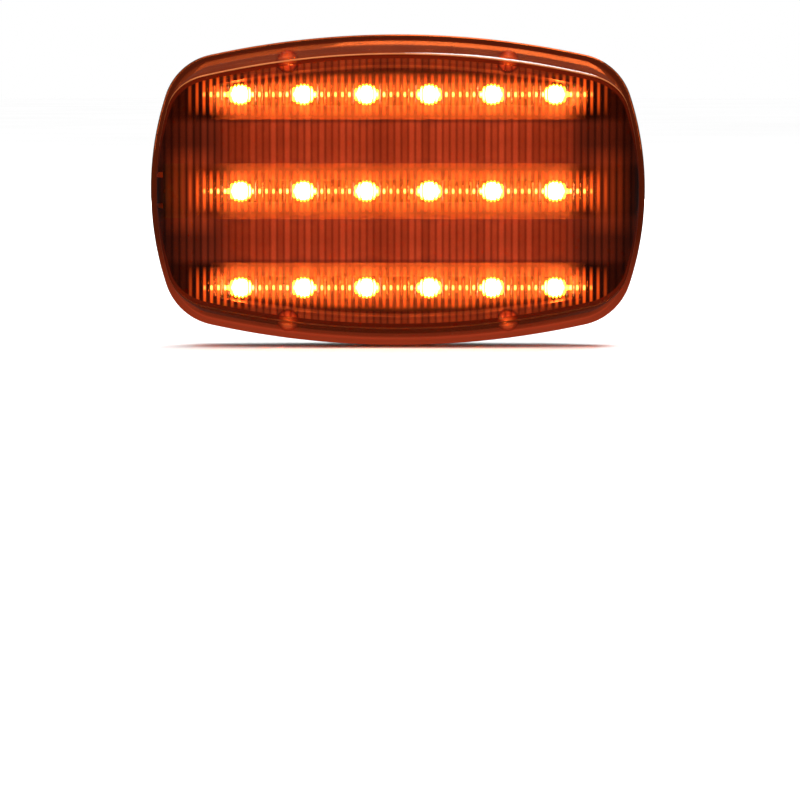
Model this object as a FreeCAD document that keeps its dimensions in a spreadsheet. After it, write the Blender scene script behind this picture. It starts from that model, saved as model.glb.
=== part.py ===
import FreeCAD, Part

import math
import os

import Sketcher
from FreeCAD import Placement, Rotation, Vector

# LED safety flare, in millimetres.
# X runs along the long side, Z is up, the amber lens faces -Y and the magnets face +Y.
# The origin is in the plane of the two magnet faces, midway between them.
# A "depth" is a distance from that plane towards the lens, so a point at depth d has y = -d.

doc = FreeCAD.newDocument("led_safety_flare")

DIMENSIONS = {
    # outline, seen from the front
    "body_width": 164,
    "body_height": 103,
    "long_radius": 290,
    "side_radius": 101,
    "corner_radius": 20,
    # depths from the magnet plane
    "hump_face": 2.5,
    "rim_face": 14.5,
    "dish_face": 16.5,
    "parting": 22.5,
    "gasket_thick": 0.6,
    "lens_front": 42,
    # housing and lens
    "wall": 2.5,
    "rim_rounding": 3.2,
    "lens_wall": 1.7,
    "lens_face": 2.3,
    "lens_flange": 2.4,
    "lens_bend": 14,
    "lens_foot_step_x": 2,
    "lens_foot_step_z": 1.5,
    "lens_front_step_x": 2.4,
    "lens_front_step_z": 6.3,
    "lens_foot_corner": 18.5,
    "lens_front_corner": 16,
    # hump on the back
    "hump_half_width": 70,
    "hump_half_height": 36.6,
    "hump_side_radius": 105,
    "hump_long_radius": 400,
    "dish_half_width": 73.7,
    "dish_half_height": 44,
    "dish_side_radius": 93,
    "dish_long_radius": 340,
    "dish_corner": 14,
    "grip_half_width": 33.3,
    "grip_half_height": 41,
    # magnets
    "magnet_radius": 16,
    "magnet_pitch": 71,
    "magnet_thick": 7.5,
    # case screws
    "screw_span_x": 72.4,
    "screw_span_z": 85.4,
    "screw_seat": 17,
    # lamp
    "led_pitch_x": 20.7,
    "led_pitch_z": 31.7,
    "led_radius": 2.4,
    "led_leg_x": 1.27,
    "board_back": 31.4,
    "board_thick": 1.6,
    "board_half_width": 62,
    "board_half_height": 38,
    "reflector_back": 33.2,
    "reflector_front": 38.4,
    "reflector_half_width": 69.4,
    "reflector_half_height": 42.4,
    "reflector_side_radius": 88,
    "reflector_long_radius": 281,
    "reflector_corner": 12,
    "peg_x": 42,
    # battery compartment
    "cell_radius": 5.2,
    "cell_length": 43.3,
    "cell_x": 9.3,
    "cell_first_depth": 12.2,
    "cell_layer": 10.5,
    "chamber_half_width": 14.95,
    "chamber_top": 19.9,
    "chamber_bottom": 30.9,
    "chamber_floor": 28.2,
    # battery door, hanger and coin screw
    "door_half_width": 15.55,
    "door_top": 20.55,
    "door_bottom": 31.65,
    "door_thick": 4,
    "door_gap": 0.4,
    "hanger_half_width": 7.85,
    "hanger_bottom": 17,
    "hanger_thick": 2.2,
    "pin_z": 19.3,
    "pin_radius": 0.55,
    "pin_length": 25.2,
    "eye_radius": 6.1,
    "lock_z": 1.1,
    "lock_head_radius": 5.5,
    "lock_shank_radius": 2,
    "post_radius": 3.8,
    # push button
    "button_x": 69.5,
    "button_radius": 4.95,
    "button_travel": 1.5,
    "collar_radius": 8.8,
    "collar_face": 11,
    "switch_height": 7.2,
}

sheet = doc.addObject("Spreadsheet::Sheet", "Dims")
for row, (alias, number_of_mm) in enumerate(DIMENSIONS.items(), start=1):
    sheet.set(f"A{row}", alias)
    sheet.set(f"B{row}", str(number_of_mm))
    sheet.setAlias(f"B{row}", alias)
doc.recompute()


class Size:
    """A length in mm that carries the spreadsheet formula it comes from."""

    def __init__(self, value, formula):
        self.value = value
        self.formula = formula

    def __add__(self, other):
        return Size(self.value + value_of(other), f"({self.formula} + {formula_of(other)})")

    def __radd__(self, other):
        return self + other

    def __sub__(self, other):
        return Size(self.value - value_of(other), f"({self.formula} - {formula_of(other)})")

    def __rsub__(self, other):
        return Size(value_of(other) - self.value, f"({formula_of(other)} - {self.formula})")

    def __mul__(self, factor):
        return Size(self.value * factor, f"({self.formula} * {formula_of(factor)})")

    def __rmul__(self, factor):
        return self * factor

    def __truediv__(self, divisor):
        return Size(self.value / divisor, f"({self.formula} / {formula_of(divisor)})")

    def __neg__(self):
        return self * -1


def value_of(size):
    return size.value if isinstance(size, Size) else size


def formula_of(size):
    if isinstance(size, Size):
        return size.formula
    return f"({size})" if size < 0 else str(size)


def dim(alias):
    return Size(DIMENSIONS[alias], f"Dims.{alias}")


BODY_HALF_WIDTH = dim("body_width") / 2
BODY_HALF_HEIGHT = dim("body_height") / 2
LENS_BACK = dim("parting") + dim("gasket_thick")
LENS_INSIDE = dim("lens_front") - dim("lens_face")
BOARD_FRONT = dim("board_back") + dim("board_thick")
SEAT_FLOOR = dim("magnet_thick") + 2.2
CHAMBER_OUTSIDE = dim("chamber_floor") + 1.2
DOOR_INSIDE = dim("hump_face") + dim("door_thick")
LEDGE = DOOR_INSIDE + 0.15
SHELL_INSIDE = dim("parting") - 3.5
HUMP_INSIDE = dim("hump_face") + dim("wall")
SWITCH_FACE = dim("board_back") - dim("switch_height")
BOSS_RADIUS = 3.6
POST_X, POST_Z = 57, 16
INSERT_RADIUS, INSERT_TOP, INSERT_END = 3, 8.4, 16.4
HANGER_FLOOR = dim("hump_face") + dim("hanger_thick") + 0.2
PIN_DEPTH = dim("hump_face") + dim("hanger_thick") / 2
SIDES = (-1, 1)


# ---------------------------------------------------------------- sketch helpers


def set_size(target, path, size):
    """Tie one property of an object to the spreadsheet."""
    target.setExpression(path, formula_of(size))


def new_body(label):
    body = doc.addObject("PartDesign::Body", label)
    body.Label = label
    return body


def new_sketch(body, depth=0, turn=0, plane="XZ_Plane", offset_x=0, offset_y=0, offset_z=0):
    """A sketch at a depth behind or in front of the magnet plane, looking from behind it."""
    sketch = body.newObject("Sketcher::SketchObject", "Sketch")
    base = next(item for item in body.Origin.OriginFeatures if item.Role == plane)
    sketch.AttachmentSupport = [(base, "")]
    sketch.MapMode = "FlatFace"
    if plane == "XZ_Plane":
        shift = (offset_x, offset_z, depth)
    else:
        shift = (offset_x, offset_y, offset_z)
    place = Vector(*[value_of(size) for size in shift])
    sketch.AttachmentOffset = Placement(place, Rotation(Vector(0, 0, 1), turn))
    for axis, size in zip("xyz", shift):
        if isinstance(size, Size):
            set_size(sketch, f"AttachmentOffset.Base.{axis}", size)
    return sketch


def constrain(sketch, kind, *where, size):
    index = sketch.addConstraint(Sketcher.Constraint(kind, *where, value_of(size)))
    set_size(sketch, f"Constraints[{index}]", size)


def fix_point(sketch, geometry, point, x, z):
    """Hold a point of the sketch at x, z, measured from the sketch's origin."""
    if value_of(x) == 0:
        sketch.addConstraint(Sketcher.Constraint("PointOnObject", geometry, point, -2))
    else:
        constrain(sketch, "DistanceX", -1, 1, geometry, point, size=x)
    if value_of(z) == 0:
        sketch.addConstraint(Sketcher.Constraint("PointOnObject", geometry, point, -1))
    else:
        constrain(sketch, "DistanceY", -1, 1, geometry, point, size=z)


def add_circle(sketch, x, z, radius):
    middle = Vector(value_of(x), value_of(z), 0)
    circle = sketch.addGeometry(Part.Circle(middle, Vector(0, 0, 1), value_of(radius)))
    constrain(sketch, "Radius", circle, size=radius)
    fix_point(sketch, circle, 3, x, z)


def add_polygon(sketch, corners):
    first = len(sketch.Geometry)
    count = len(corners)
    points = [Vector(value_of(x), value_of(z), 0) for x, z in corners]
    for step in range(count):
        sketch.addGeometry(Part.LineSegment(points[step], points[(step + 1) % count]))
    for step in range(count):
        after = first + (step + 1) % count
        sketch.addConstraint(Sketcher.Constraint("Coincident", first + step, 2, after, 1))
    for step, (x, z) in enumerate(corners):
        fix_point(sketch, first + step, 1, x, z)


def add_rectangle(sketch, left, right, bottom, top):
    add_polygon(sketch, [(left, bottom), (right, bottom), (right, top), (left, top)])


def arc_between(middle, radius, start, end):
    """The arc that runs anticlockwise from start to end."""
    first = math.atan2(start.y - middle.y, start.x - middle.x)
    last = math.atan2(end.y - middle.y, end.x - middle.x)
    circle = Part.Circle(middle, Vector(0, 0, 1), radius)
    return Part.ArcOfCircle(circle, first, last)


def add_outline(sketch, half_width, half_height, side_radius, long_radius, corner_radius):
    """The housing's own shape: four bowed sides joined by tangent corner arcs."""
    width, height = value_of(half_width), value_of(half_height)
    side, long, corner = value_of(side_radius), value_of(long_radius), value_of(corner_radius)
    side_middle, long_middle = width - side, height - long
    # the corner circle touches the side circle and the long circle from inside
    span = math.hypot(side_middle, long_middle)
    reach_side, reach_long = side - corner, long - corner
    along = (reach_side**2 - reach_long**2 + span**2) / (2 * span)
    across = math.sqrt(reach_side**2 - along**2)
    unit = Vector(-side_middle / span, long_middle / span, 0)
    middle = Vector(side_middle, 0, 0) + unit * along + Vector(-unit.y, unit.x, 0) * across
    away_side = (middle - Vector(side_middle, 0, 0)).normalize()
    away_long = (middle - Vector(0, long_middle, 0)).normalize()
    touch_side = Vector(side_middle, 0, 0) + away_side * side
    touch_long = Vector(0, long_middle, 0) + away_long * long

    def mirrored(point, x, z):
        return Vector(point.x * x, point.y * z, 0)

    pieces = [
        (Vector(side_middle, 0, 0), side, (touch_side, 1, -1), (touch_side, 1, 1)),
        (middle, corner, (touch_side, 1, 1), (touch_long, 1, 1)),
        (Vector(0, long_middle, 0), long, (touch_long, 1, 1), (touch_long, -1, 1)),
        (mirrored(middle, -1, 1), corner, (touch_long, -1, 1), (touch_side, -1, 1)),
        (Vector(-side_middle, 0, 0), side, (touch_side, -1, 1), (touch_side, -1, -1)),
        (mirrored(middle, -1, -1), corner, (touch_side, -1, -1), (touch_long, -1, -1)),
        (Vector(0, -long_middle, 0), long, (touch_long, -1, -1), (touch_long, 1, -1)),
        (mirrored(middle, 1, -1), corner, (touch_long, 1, -1), (touch_side, 1, -1)),
    ]
    first = len(sketch.Geometry)
    for centre, radius, start, end in pieces:
        sketch.addGeometry(arc_between(centre, radius, mirrored(*start), mirrored(*end)))
    for step in range(8):
        after = first + (step + 1) % 8
        sketch.addConstraint(Sketcher.Constraint("Tangent", first + step, 2, after, 1))
    radii = (side_radius, corner_radius, long_radius, corner_radius)
    for step in range(8):
        constrain(sketch, "Radius", first + step, size=radii[step % 4])
    side_offset = half_width - side_radius
    long_offset = half_height - long_radius
    fix_point(sketch, first, 3, side_offset, 0)
    fix_point(sketch, first + 2, 3, 0, long_offset)
    fix_point(sketch, first + 4, 3, -side_offset, 0)
    fix_point(sketch, first + 6, 3, 0, -long_offset)


def add_body_outline(sketch, inset):
    """The outer outline moved inwards by the same distance all round."""
    add_outline(
        sketch,
        BODY_HALF_WIDTH - inset,
        BODY_HALF_HEIGHT - inset,
        dim("side_radius") - inset,
        dim("long_radius") - inset,
        dim("corner_radius") - inset,
    )


def add_band(sketch, half_width, low_arc, high_arc, high_half_width, side):
    """The area between two arcs that share the long side's centre, with straight ends.

    Each arc is given by its height at x = 0. side is 1 above the middle and -1 below it.
    """
    centre = (BODY_HALF_HEIGHT - dim("long_radius")) * side
    first = len(sketch.Geometry)
    points = []
    for width, height in ((half_width, low_arc), (high_half_width, high_arc)):
        radius = value_of(height) - value_of(centre) * side
        rise = math.sqrt(radius**2 - value_of(width) ** 2) + value_of(centre) * side
        points.append((value_of(width), rise * side, radius))
    (low_x, low_z, low_radius), (high_x, high_z, high_radius) = points
    middle = Vector(0, value_of(centre), 0)
    low = [Vector(low_x * side, low_z, 0), Vector(-low_x * side, low_z, 0)]
    high = [Vector(high_x * side, high_z, 0), Vector(-high_x * side, high_z, 0)]
    sketch.addGeometry(arc_between(middle, low_radius, *low))
    sketch.addGeometry(Part.LineSegment(low[1], high[1]))
    sketch.addGeometry(arc_between(middle, high_radius, *high))
    sketch.addGeometry(Part.LineSegment(high[0], low[0]))
    sketch.addConstraint(Sketcher.Constraint("Coincident", first, 2, first + 1, 1))
    sketch.addConstraint(Sketcher.Constraint("Coincident", first + 1, 2, first + 2, 2))
    sketch.addConstraint(Sketcher.Constraint("Coincident", first + 2, 1, first + 3, 1))
    sketch.addConstraint(Sketcher.Constraint("Coincident", first + 3, 2, first, 1))
    for step, height in ((0, low_arc), (2, high_arc)):
        fix_point(sketch, first + step, 3, 0, centre)
        constrain(sketch, "Radius", first + step, size=height - centre * side)
    for step, width in ((0, half_width), (2, high_half_width)):
        constrain(sketch, "DistanceX", -1, 1, first + step, 1, size=width * side)
        constrain(sketch, "DistanceX", -1, 1, first + step, 2, size=width * -side)


def add_window(sketch, half_width, straight, arc_height, side):
    """A shape with a straight inner edge, and an outer edge that follows the long side's arc."""
    centre = (BODY_HALF_HEIGHT - dim("long_radius")) * side
    first = len(sketch.Geometry)
    radius = value_of(arc_height) - value_of(centre) * side
    rise = math.sqrt(radius**2 - half_width**2) + value_of(centre) * side
    edge = value_of(straight)
    corners = [Vector(x * side, z * side, 0) for x, z in
               ((-half_width, edge), (half_width, edge), (half_width, rise), (-half_width, rise))]
    sketch.addGeometry(Part.LineSegment(corners[0], corners[1]))
    sketch.addGeometry(Part.LineSegment(corners[1], corners[2]))
    sketch.addGeometry(arc_between(Vector(0, value_of(centre), 0), radius, corners[2], corners[3]))
    sketch.addGeometry(Part.LineSegment(corners[3], corners[0]))
    for step in range(4):
        after = first + (step + 1) % 4
        sketch.addConstraint(Sketcher.Constraint("Coincident", first + step, 2, after, 1))
    fix_point(sketch, first, 1, -half_width * side, straight * side)
    fix_point(sketch, first, 2, half_width * side, straight * side)
    fix_point(sketch, first + 2, 3, 0, centre)
    constrain(sketch, "Radius", first + 2, size=arc_height - centre * side)
    constrain(sketch, "DistanceX", -1, 1, first + 2, 1, size=half_width * side)
    constrain(sketch, "DistanceX", -1, 1, first + 2, 2, size=-half_width * side)


# ---------------------------------------------------------------- feature helpers


def finish_feature(body, feature):
    body.Tip = feature
    doc.recompute()
    return feature


def pad(body, sketch, length, to_back=False):
    """Add material from the sketch towards the lens, or towards the magnets."""
    feature = body.newObject("PartDesign::Pad", "Pad")
    feature.Profile = sketch
    feature.Length = value_of(length)
    set_size(feature, "Length", length)
    feature.Reversed = to_back
    return finish_feature(body, feature)


def pocket(body, sketch, length, to_back=False):
    """Take material away from the sketch towards the lens, or towards the magnets."""
    feature = body.newObject("PartDesign::Pocket", "Pocket")
    feature.Profile = sketch
    feature.Length = value_of(length)
    set_size(feature, "Length", length)
    feature.Reversed = not to_back
    return finish_feature(body, feature)


def loft(body, first, second, cut=False):
    kind = "SubtractiveLoft" if cut else "AdditiveLoft"
    feature = body.newObject(f"PartDesign::{kind}", kind)
    feature.Profile = first
    feature.Sections = [second]
    feature.Ruled = True
    return finish_feature(body, feature)


def revolve(body, profile, x=0, z=0, cut=False):
    """Turn a profile of (radius, depth) points about an axis along Y through x, z."""
    sketch = new_sketch(body, plane="XY_Plane", offset_x=x, offset_z=z)
    add_polygon(sketch, [(radius, -depth) for radius, depth in profile])
    feature = body.newObject("PartDesign::Groove" if cut else "PartDesign::Revolution", "Turned")
    feature.Profile = sketch
    feature.ReferenceAxis = (sketch, ["V_Axis"])
    feature.Angle = 360
    return finish_feature(body, feature)


def fillet(body, radius, wanted):
    """Round the edges of the body's current shape for which wanted(edge) is true."""
    base = body.Tip
    names = [f"Edge{n}" for n, edge in enumerate(base.Shape.Edges, start=1) if wanted(edge)]
    feature = body.newObject("PartDesign::Fillet", "Fillet")
    feature.Base = (base, names)
    feature.Radius = value_of(radius)
    set_size(feature, "Radius", radius)
    return finish_feature(body, feature)


def repeat(body, originals, axis, length, count):
    """Repeat features along one of the body's axes, spread over a length."""
    feature = body.newObject("PartDesign::LinearPattern", "Row")
    feature.Originals = originals
    direction = next(item for item in body.Origin.OriginFeatures if item.Role == axis)
    feature.Direction = (direction, [""])
    feature.Length = value_of(length)
    feature.Occurrences = count
    set_size(feature, "Length", length)
    return finish_feature(body, feature)


def at_depth(edge, depth):
    """True if the whole edge lies in the plane at this depth."""
    box = edge.BoundBox
    return abs(box.YMin + value_of(depth)) < 0.01 and abs(box.YMax + value_of(depth)) < 0.01


def along_depth(edge):
    box = edge.BoundBox
    return box.YLength > 0.5 and box.XLength < 0.01 and box.ZLength < 0.01


# ---------------------------------------------------------------- rear housing


def add_hump(body):
    """The sunken border around the hump, the hump, and its raised middle between the grips."""
    half_width, half_height = dim("hump_half_width"), dim("hump_half_height")
    side_radius, long_radius = dim("hump_side_radius"), dim("hump_long_radius")
    dish_outer = new_sketch(body, dim("rim_face"))
    add_outline(dish_outer, dim("dish_half_width"), dim("dish_half_height"),
                dim("dish_side_radius"), dim("dish_long_radius"), dim("dish_corner"))
    dish_inner = new_sketch(body, dim("dish_face"))
    add_outline(dish_inner, half_width + 0.6, half_height + 0.8, side_radius - 5, long_radius, 6)
    loft(body, dish_outer, dish_inner, cut=True)

    buried = dim("parting") - 4
    lean_x, lean_z = 4.4, 1.3
    foot = new_sketch(body, buried)
    add_outline(foot, half_width, half_height, side_radius, long_radius, 5)
    plateau = new_sketch(body, dim("hump_face"))
    add_outline(plateau, half_width - lean_x, half_height - lean_z, side_radius, long_radius, 2.5)
    loft(body, foot, plateau)

    grip_lean = 2.6
    for side in SIDES:
        foot = new_sketch(body, buried)
        width = dim("grip_half_width")
        add_band(foot, width, 20, dim("grip_half_height"), width, side)
        top = new_sketch(body, dim("hump_face"))
        add_band(top, width, 20, dim("grip_half_height") - grip_lean, width, side)
        loft(body, foot, top)
    edge_rounding = 1
    fillet(body, edge_rounding,
           lambda edge: at_depth(edge, dim("hump_face")) and edge.Length > 8)


def add_grip_recesses(body):
    """The two shallow panels between the rim and the middle of the hump."""
    inner_half_width, outer_half_width = 33, 29.5
    inner_height, outer_height = dim("grip_half_height") - 0.6, 46.2
    deep = 2.6
    for side in SIDES:
        sketch = new_sketch(body, dim("rim_face"))
        add_band(sketch, inner_half_width, inner_height, outer_height, outer_half_width, side)
        pocket(body, sketch, deep)


def hollow_housing(body):
    """The space inside the rim, inside the hump and inside its raised middle."""
    rim_thick = 3
    sketch = new_sketch(body, dim("parting"))
    add_body_outline(sketch, rim_thick)
    pocket(body, sketch, dim("parting") - SHELL_INSIDE, to_back=True)

    half_width, half_height = dim("hump_half_width"), dim("hump_half_height")
    side_radius = dim("hump_side_radius") - 3
    long_radius = dim("hump_long_radius") - 3
    mouth = new_sketch(body, SHELL_INSIDE)
    add_outline(mouth, half_width - 3, half_height - 2.6, side_radius, long_radius, 3)
    roof = new_sketch(body, HUMP_INSIDE)
    add_outline(roof, half_width - 7.1, half_height - 3.9, side_radius, long_radius, 1.5)
    loft(body, mouth, roof, cut=True)

    for side in SIDES:
        width = dim("grip_half_width") - dim("wall")
        mouth = new_sketch(body, SHELL_INSIDE)
        add_band(mouth, width, 22, dim("grip_half_height") - 2.8, width, side)
        roof = new_sketch(body, HUMP_INSIDE)
        add_band(roof, width, 22, dim("grip_half_height") - 5.2, width, side)
        loft(body, mouth, roof, cut=True)


def add_magnet_seats(body):
    """The two cups the magnets sit in, with a stepped lead-in and a hole for the screw."""
    outside, tower, tower_end = 18.8, 4.6, SEAT_FLOOR + 3.3
    seat, step, mouth = dim("magnet_radius") + 0.4, 17.5, 18.4
    screw_hole = 2.1
    face, thick = dim("hump_face"), dim("magnet_thick")
    for side in SIDES:
        x = dim("magnet_pitch") / 2 * side
        revolve(body, [(0, HUMP_INSIDE - 0.5), (outside, HUMP_INSIDE - 0.5),
                       (outside, SEAT_FLOOR), (tower, SEAT_FLOOR), (tower, tower_end),
                       (0, tower_end)], x)
        revolve(body, [(0, face - 1), (mouth, face - 1), (mouth, face + 0.5), (step, face + 0.5),
                       (step, face + 0.9), (seat, face + 0.9), (seat, thick),
                       (screw_hole, thick), (screw_hole, SEAT_FLOOR + 4), (0, SEAT_FLOOR + 4)],
                x, cut=True)


def add_button_collar(body):
    """A scoop in the hump's side around the button, and the raised ring the button sits in."""
    x = -dim("button_x")
    collar = dim("collar_radius")
    top, foot = dim("hump_face"), dim("rim_face")
    spread = 4.4
    # the scoop's wall inside the hump, which only lies on the side of the hump
    wall = revolve(body, [(0, top + 1.5), (collar + spread + 1.8, top + 1.5),
                          (collar + 2.2, foot + 0.7), (collar + 2.2, SHELL_INSIDE),
                          (0, SHELL_INSIDE)], x)
    wall.Midplane = True
    hump_side_of_the_turn = 136
    wall.Angle = hump_side_of_the_turn
    doc.recompute()
    clearing = new_sketch(body, top - 0.1)
    add_circle(clearing, x, 0, collar + spread)
    floor = new_sketch(body, foot)
    add_circle(floor, x, 0, collar + 0.1)
    loft(body, clearing, floor, cut=True)
    face = dim("collar_face")
    revolve(body, [(0, face), (collar - 1.1, face), (collar - 0.3, face + 0.4),
                   (collar, face + 1.2), (collar, SHELL_INSIDE), (0, SHELL_INSIDE)], x)
    bore = dim("button_radius") + 0.55
    revolve(body, [(0, face - 1), (bore + 0.4, face - 1), (bore + 0.4, face + 0.1),
                   (bore, face + 0.5), (bore, dim("parting")), (0, dim("parting"))], x, cut=True)


def add_case_screw_holes(body):
    """A post inside the rim at each case screw, with a hole and a sunken seat for the head."""
    head_hole, shank_hole = 2.8, 1.7
    for side_x in SIDES:
        for side_z in SIDES:
            x = dim("screw_span_x") / 2 * side_x
            z = dim("screw_span_z") / 2 * side_z
            boss = new_sketch(body, dim("screw_seat"))
            add_circle(boss, x, z, BOSS_RADIUS)
            pad(body, boss, dim("parting") - dim("screw_seat"))
            seat = dim("screw_seat")
            end = dim("parting") + 1
            revolve(body, [(0, seat - 4), (head_hole, seat - 4), (head_hole, seat),
                           (shank_hole, seat), (shank_hole, end), (0, end)], x, z, cut=True)


def add_battery_well(body):
    """The compartment for four cells, the door's recess, and two slots for the wire tabs."""
    wall = 1.95
    well = new_sketch(body, HUMP_INSIDE)
    half_width = dim("chamber_half_width")
    bottom, top = -dim("chamber_bottom"), dim("chamber_top")
    add_rectangle(well, -half_width - wall, half_width + wall, bottom - wall, top + wall)
    pad(body, well, CHAMBER_OUTSIDE - HUMP_INSIDE)

    chamber = new_sketch(body, dim("hump_face"))
    add_rectangle(chamber, -half_width, half_width, bottom, top)
    pocket(body, chamber, dim("chamber_floor") - dim("hump_face"))

    recess = new_sketch(body, dim("hump_face"))
    gap = dim("door_gap")
    half_width = dim("door_half_width") + gap
    add_rectangle(recess, -half_width, half_width, -dim("door_bottom") - gap, dim("door_top") + gap)
    pocket(body, recess, LEDGE - dim("hump_face"))
    low_corner = value_of(dim("door_bottom") + gap)
    corner_rounding = 2.4
    fillet(body, corner_rounding,
           lambda edge: along_depth(edge) and abs(edge.BoundBox.ZMin + low_corner) < 0.01
           and abs(abs(edge.BoundBox.XMin) - value_of(half_width)) < 0.01)

    for side in SIDES:
        slot = new_sketch(body, HUMP_INSIDE + 9)
        x = dim("cell_x") * side
        add_rectangle(slot, x - 1.6, x + 1.6, top - 0.2, top + wall + 0.2)
        pocket(body, slot, 8)


def add_posts(body):
    """The post for the coin screw's insert, and the four posts that hold the circuit board."""
    lock_post = new_sketch(body, INSERT_TOP)
    add_circle(lock_post, 0, dim("lock_z"), dim("post_radius"))
    pad(body, lock_post, dim("chamber_floor") - INSERT_TOP)
    tip_hole = 2.3
    revolve(body, [(0, 8), (INSERT_RADIUS, 8), (INSERT_RADIUS, INSERT_END),
                   (tip_hole, INSERT_END), (tip_hole, 18), (0, 18)], 0, dim("lock_z"), cut=True)
    for side_x in SIDES:
        for side_z in SIDES:
            post = new_sketch(body, HUMP_INSIDE - 0.5)
            add_circle(post, POST_X * side_x, POST_Z * side_z, 3)
            pad(body, post, dim("board_back") - HUMP_INSIDE + 0.5)
            hole = new_sketch(body, dim("board_back"))
            add_circle(hole, POST_X * side_x, POST_Z * side_z, 1.1)
            pocket(body, hole, 9, to_back=True)


def rear_housing():
    body = new_body("rear_housing")
    sketch = new_sketch(body, dim("rim_face"))
    add_body_outline(sketch, 0)
    pad(body, sketch, dim("parting") - dim("rim_face"))
    fillet(body, dim("rim_rounding"), lambda edge: at_depth(edge, dim("rim_face")))
    add_hump(body)
    add_grip_recesses(body)
    hollow_housing(body)
    add_magnet_seats(body)
    add_button_collar(body)
    add_case_screw_holes(body)
    add_battery_well(body)
    add_posts(body)
    return body


# ---------------------------------------------------------------- lens and its seal


def lens_solid(label, inset, front, back, bend):
    """A bowl's outer or inner skin as a solid: a tapered outline cut by a profile seen from above."""
    prism = new_body(label + "_prism")
    wide = new_sketch(prism, back)
    foot_x = dim("lens_foot_step_x") + inset
    foot_z = dim("lens_foot_step_z") + inset
    front_x = dim("lens_front_step_x") + inset
    front_z = dim("lens_front_step_z") + inset
    side_radius = dim("side_radius") - foot_x
    add_outline(wide, BODY_HALF_WIDTH - foot_x, BODY_HALF_HEIGHT - foot_z,
                side_radius, dim("long_radius") - foot_z, dim("lens_foot_corner") - inset)
    narrow = new_sketch(prism, front)
    add_outline(narrow, BODY_HALF_WIDTH - front_x, BODY_HALF_HEIGHT - front_z,
                side_radius, dim("long_radius") - front_z, dim("lens_front_corner") - inset)
    loft(prism, wide, narrow)

    profile = new_body(label + "_profile")
    plan = new_sketch(profile, plane="XY_Plane", offset_z=-60)
    half_width = BODY_HALF_WIDTH - foot_x
    add_rectangle(plan, -half_width, half_width, -back + 1, -front)
    pad(profile, plan, 120)
    edge_depth = value_of(front)
    fillet(profile, bend, lambda edge: abs(edge.BoundBox.YMin + edge_depth) < 0.01
           and edge.BoundBox.ZLength > 100)

    common = doc.addObject("Part::MultiCommon", label)
    common.Shapes = [prism, profile]
    doc.recompute()
    return common


def lens():
    """The amber bowl: an outer skin and a flange, less an inner skin, with four screw bosses."""
    wall = dim("lens_wall")
    outside = lens_solid("lens_outside", 0, dim("lens_front"), LENS_BACK, dim("lens_bend"))
    inside = lens_solid("lens_inside", wall, LENS_INSIDE, LENS_BACK - 0.01, dim("lens_bend") - wall)

    flange = new_body("lens_flange")
    sketch = new_sketch(flange, LENS_BACK)
    add_body_outline(sketch, 0)
    pad(flange, sketch, dim("lens_flange"))
    edge_rounding = 0.5
    fillet(flange, edge_rounding,
           lambda edge: at_depth(edge, LENS_BACK + dim("lens_flange")))

    bosses = new_body("lens_bosses")
    holes = new_body("lens_boss_holes")
    screw_hole, screw_hole_deep = 1.5, 12
    for side_x in SIDES:
        for side_z in SIDES:
            x = dim("screw_span_x") / 2 * side_x
            z = dim("screw_span_z") / 2 * side_z
            boss = new_sketch(bosses, LENS_BACK)
            add_circle(boss, x, z, BOSS_RADIUS)
            pad(bosses, boss, LENS_INSIDE - LENS_BACK + 0.5)
            hole = new_sketch(holes, LENS_BACK - 1)
            add_circle(hole, x, z, screw_hole)
            pad(holes, hole, screw_hole_deep)

    shell = doc.addObject("Part::MultiFuse", "lens_outer_skin")
    shell.Shapes = [outside, flange]
    bowl = doc.addObject("Part::Cut", "lens_bowl")
    bowl.Base, bowl.Tool = shell, inside
    trimmed_bosses = doc.addObject("Part::MultiCommon", "lens_trimmed_bosses")
    trimmed_bosses.Shapes = [bosses, outside]
    whole = doc.addObject("Part::MultiFuse", "lens_with_bosses")
    whole.Shapes = [bowl, trimmed_bosses]
    cut = doc.addObject("Part::Cut", "lens")
    cut.Base, cut.Tool = whole, holes
    cut.Label = "lens"
    doc.recompute()
    return cut


def lens_gasket():
    body = new_body("lens_gasket")
    sketch = new_sketch(body, dim("parting"))
    add_body_outline(sketch, 0.8)
    add_body_outline(sketch, 2.6)
    pad(body, sketch, dim("gasket_thick"))
    return body


# ---------------------------------------------------------------- lamp


def circuit_board():
    body = new_body("circuit_board")
    """The board, with a tongue at one end that reaches the switch."""
    half_width, half_height = dim("board_half_width"), dim("board_half_height")
    tongue, tongue_half_height = 75, 9
    sketch = new_sketch(body, dim("board_back"))
    add_polygon(sketch, [(-half_width, -half_height), (half_width, -half_height),
                         (half_width, half_height), (-half_width, half_height),
                         (-half_width, tongue_half_height), (-tongue, tongue_half_height),
                         (-tongue, -tongue_half_height), (-half_width, -tongue_half_height)])
    pad(body, sketch, dim("board_thick"))
    corner_rounding = 3
    edge_height = value_of(half_height)
    fillet(body, corner_rounding,
           lambda edge: along_depth(edge) and abs(abs(edge.BoundBox.ZMin) - edge_height) < 0.01)
    for side_x in SIDES:
        for side_z in SIDES:
            hole = new_sketch(body, dim("board_back"))
            add_circle(hole, POST_X * side_x, POST_Z * side_z, 1.5)
            add_circle(hole, dim("peg_x") * side_x, POST_Z * side_z, 1.5)
            pocket(body, hole, dim("board_thick"))
    for line in (-1, 0, 1):
        leg_holes = new_sketch(body, dim("board_back"), offset_z=dim("led_pitch_z") * line)
        for place in range(6):
            for side in SIDES:
                x = dim("led_pitch_x") * (place - 2.5) + dim("led_leg_x") * side
                add_circle(leg_holes, x, 0, 0.45)
        pocket(body, leg_holes, dim("board_thick"))
    return body


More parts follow.
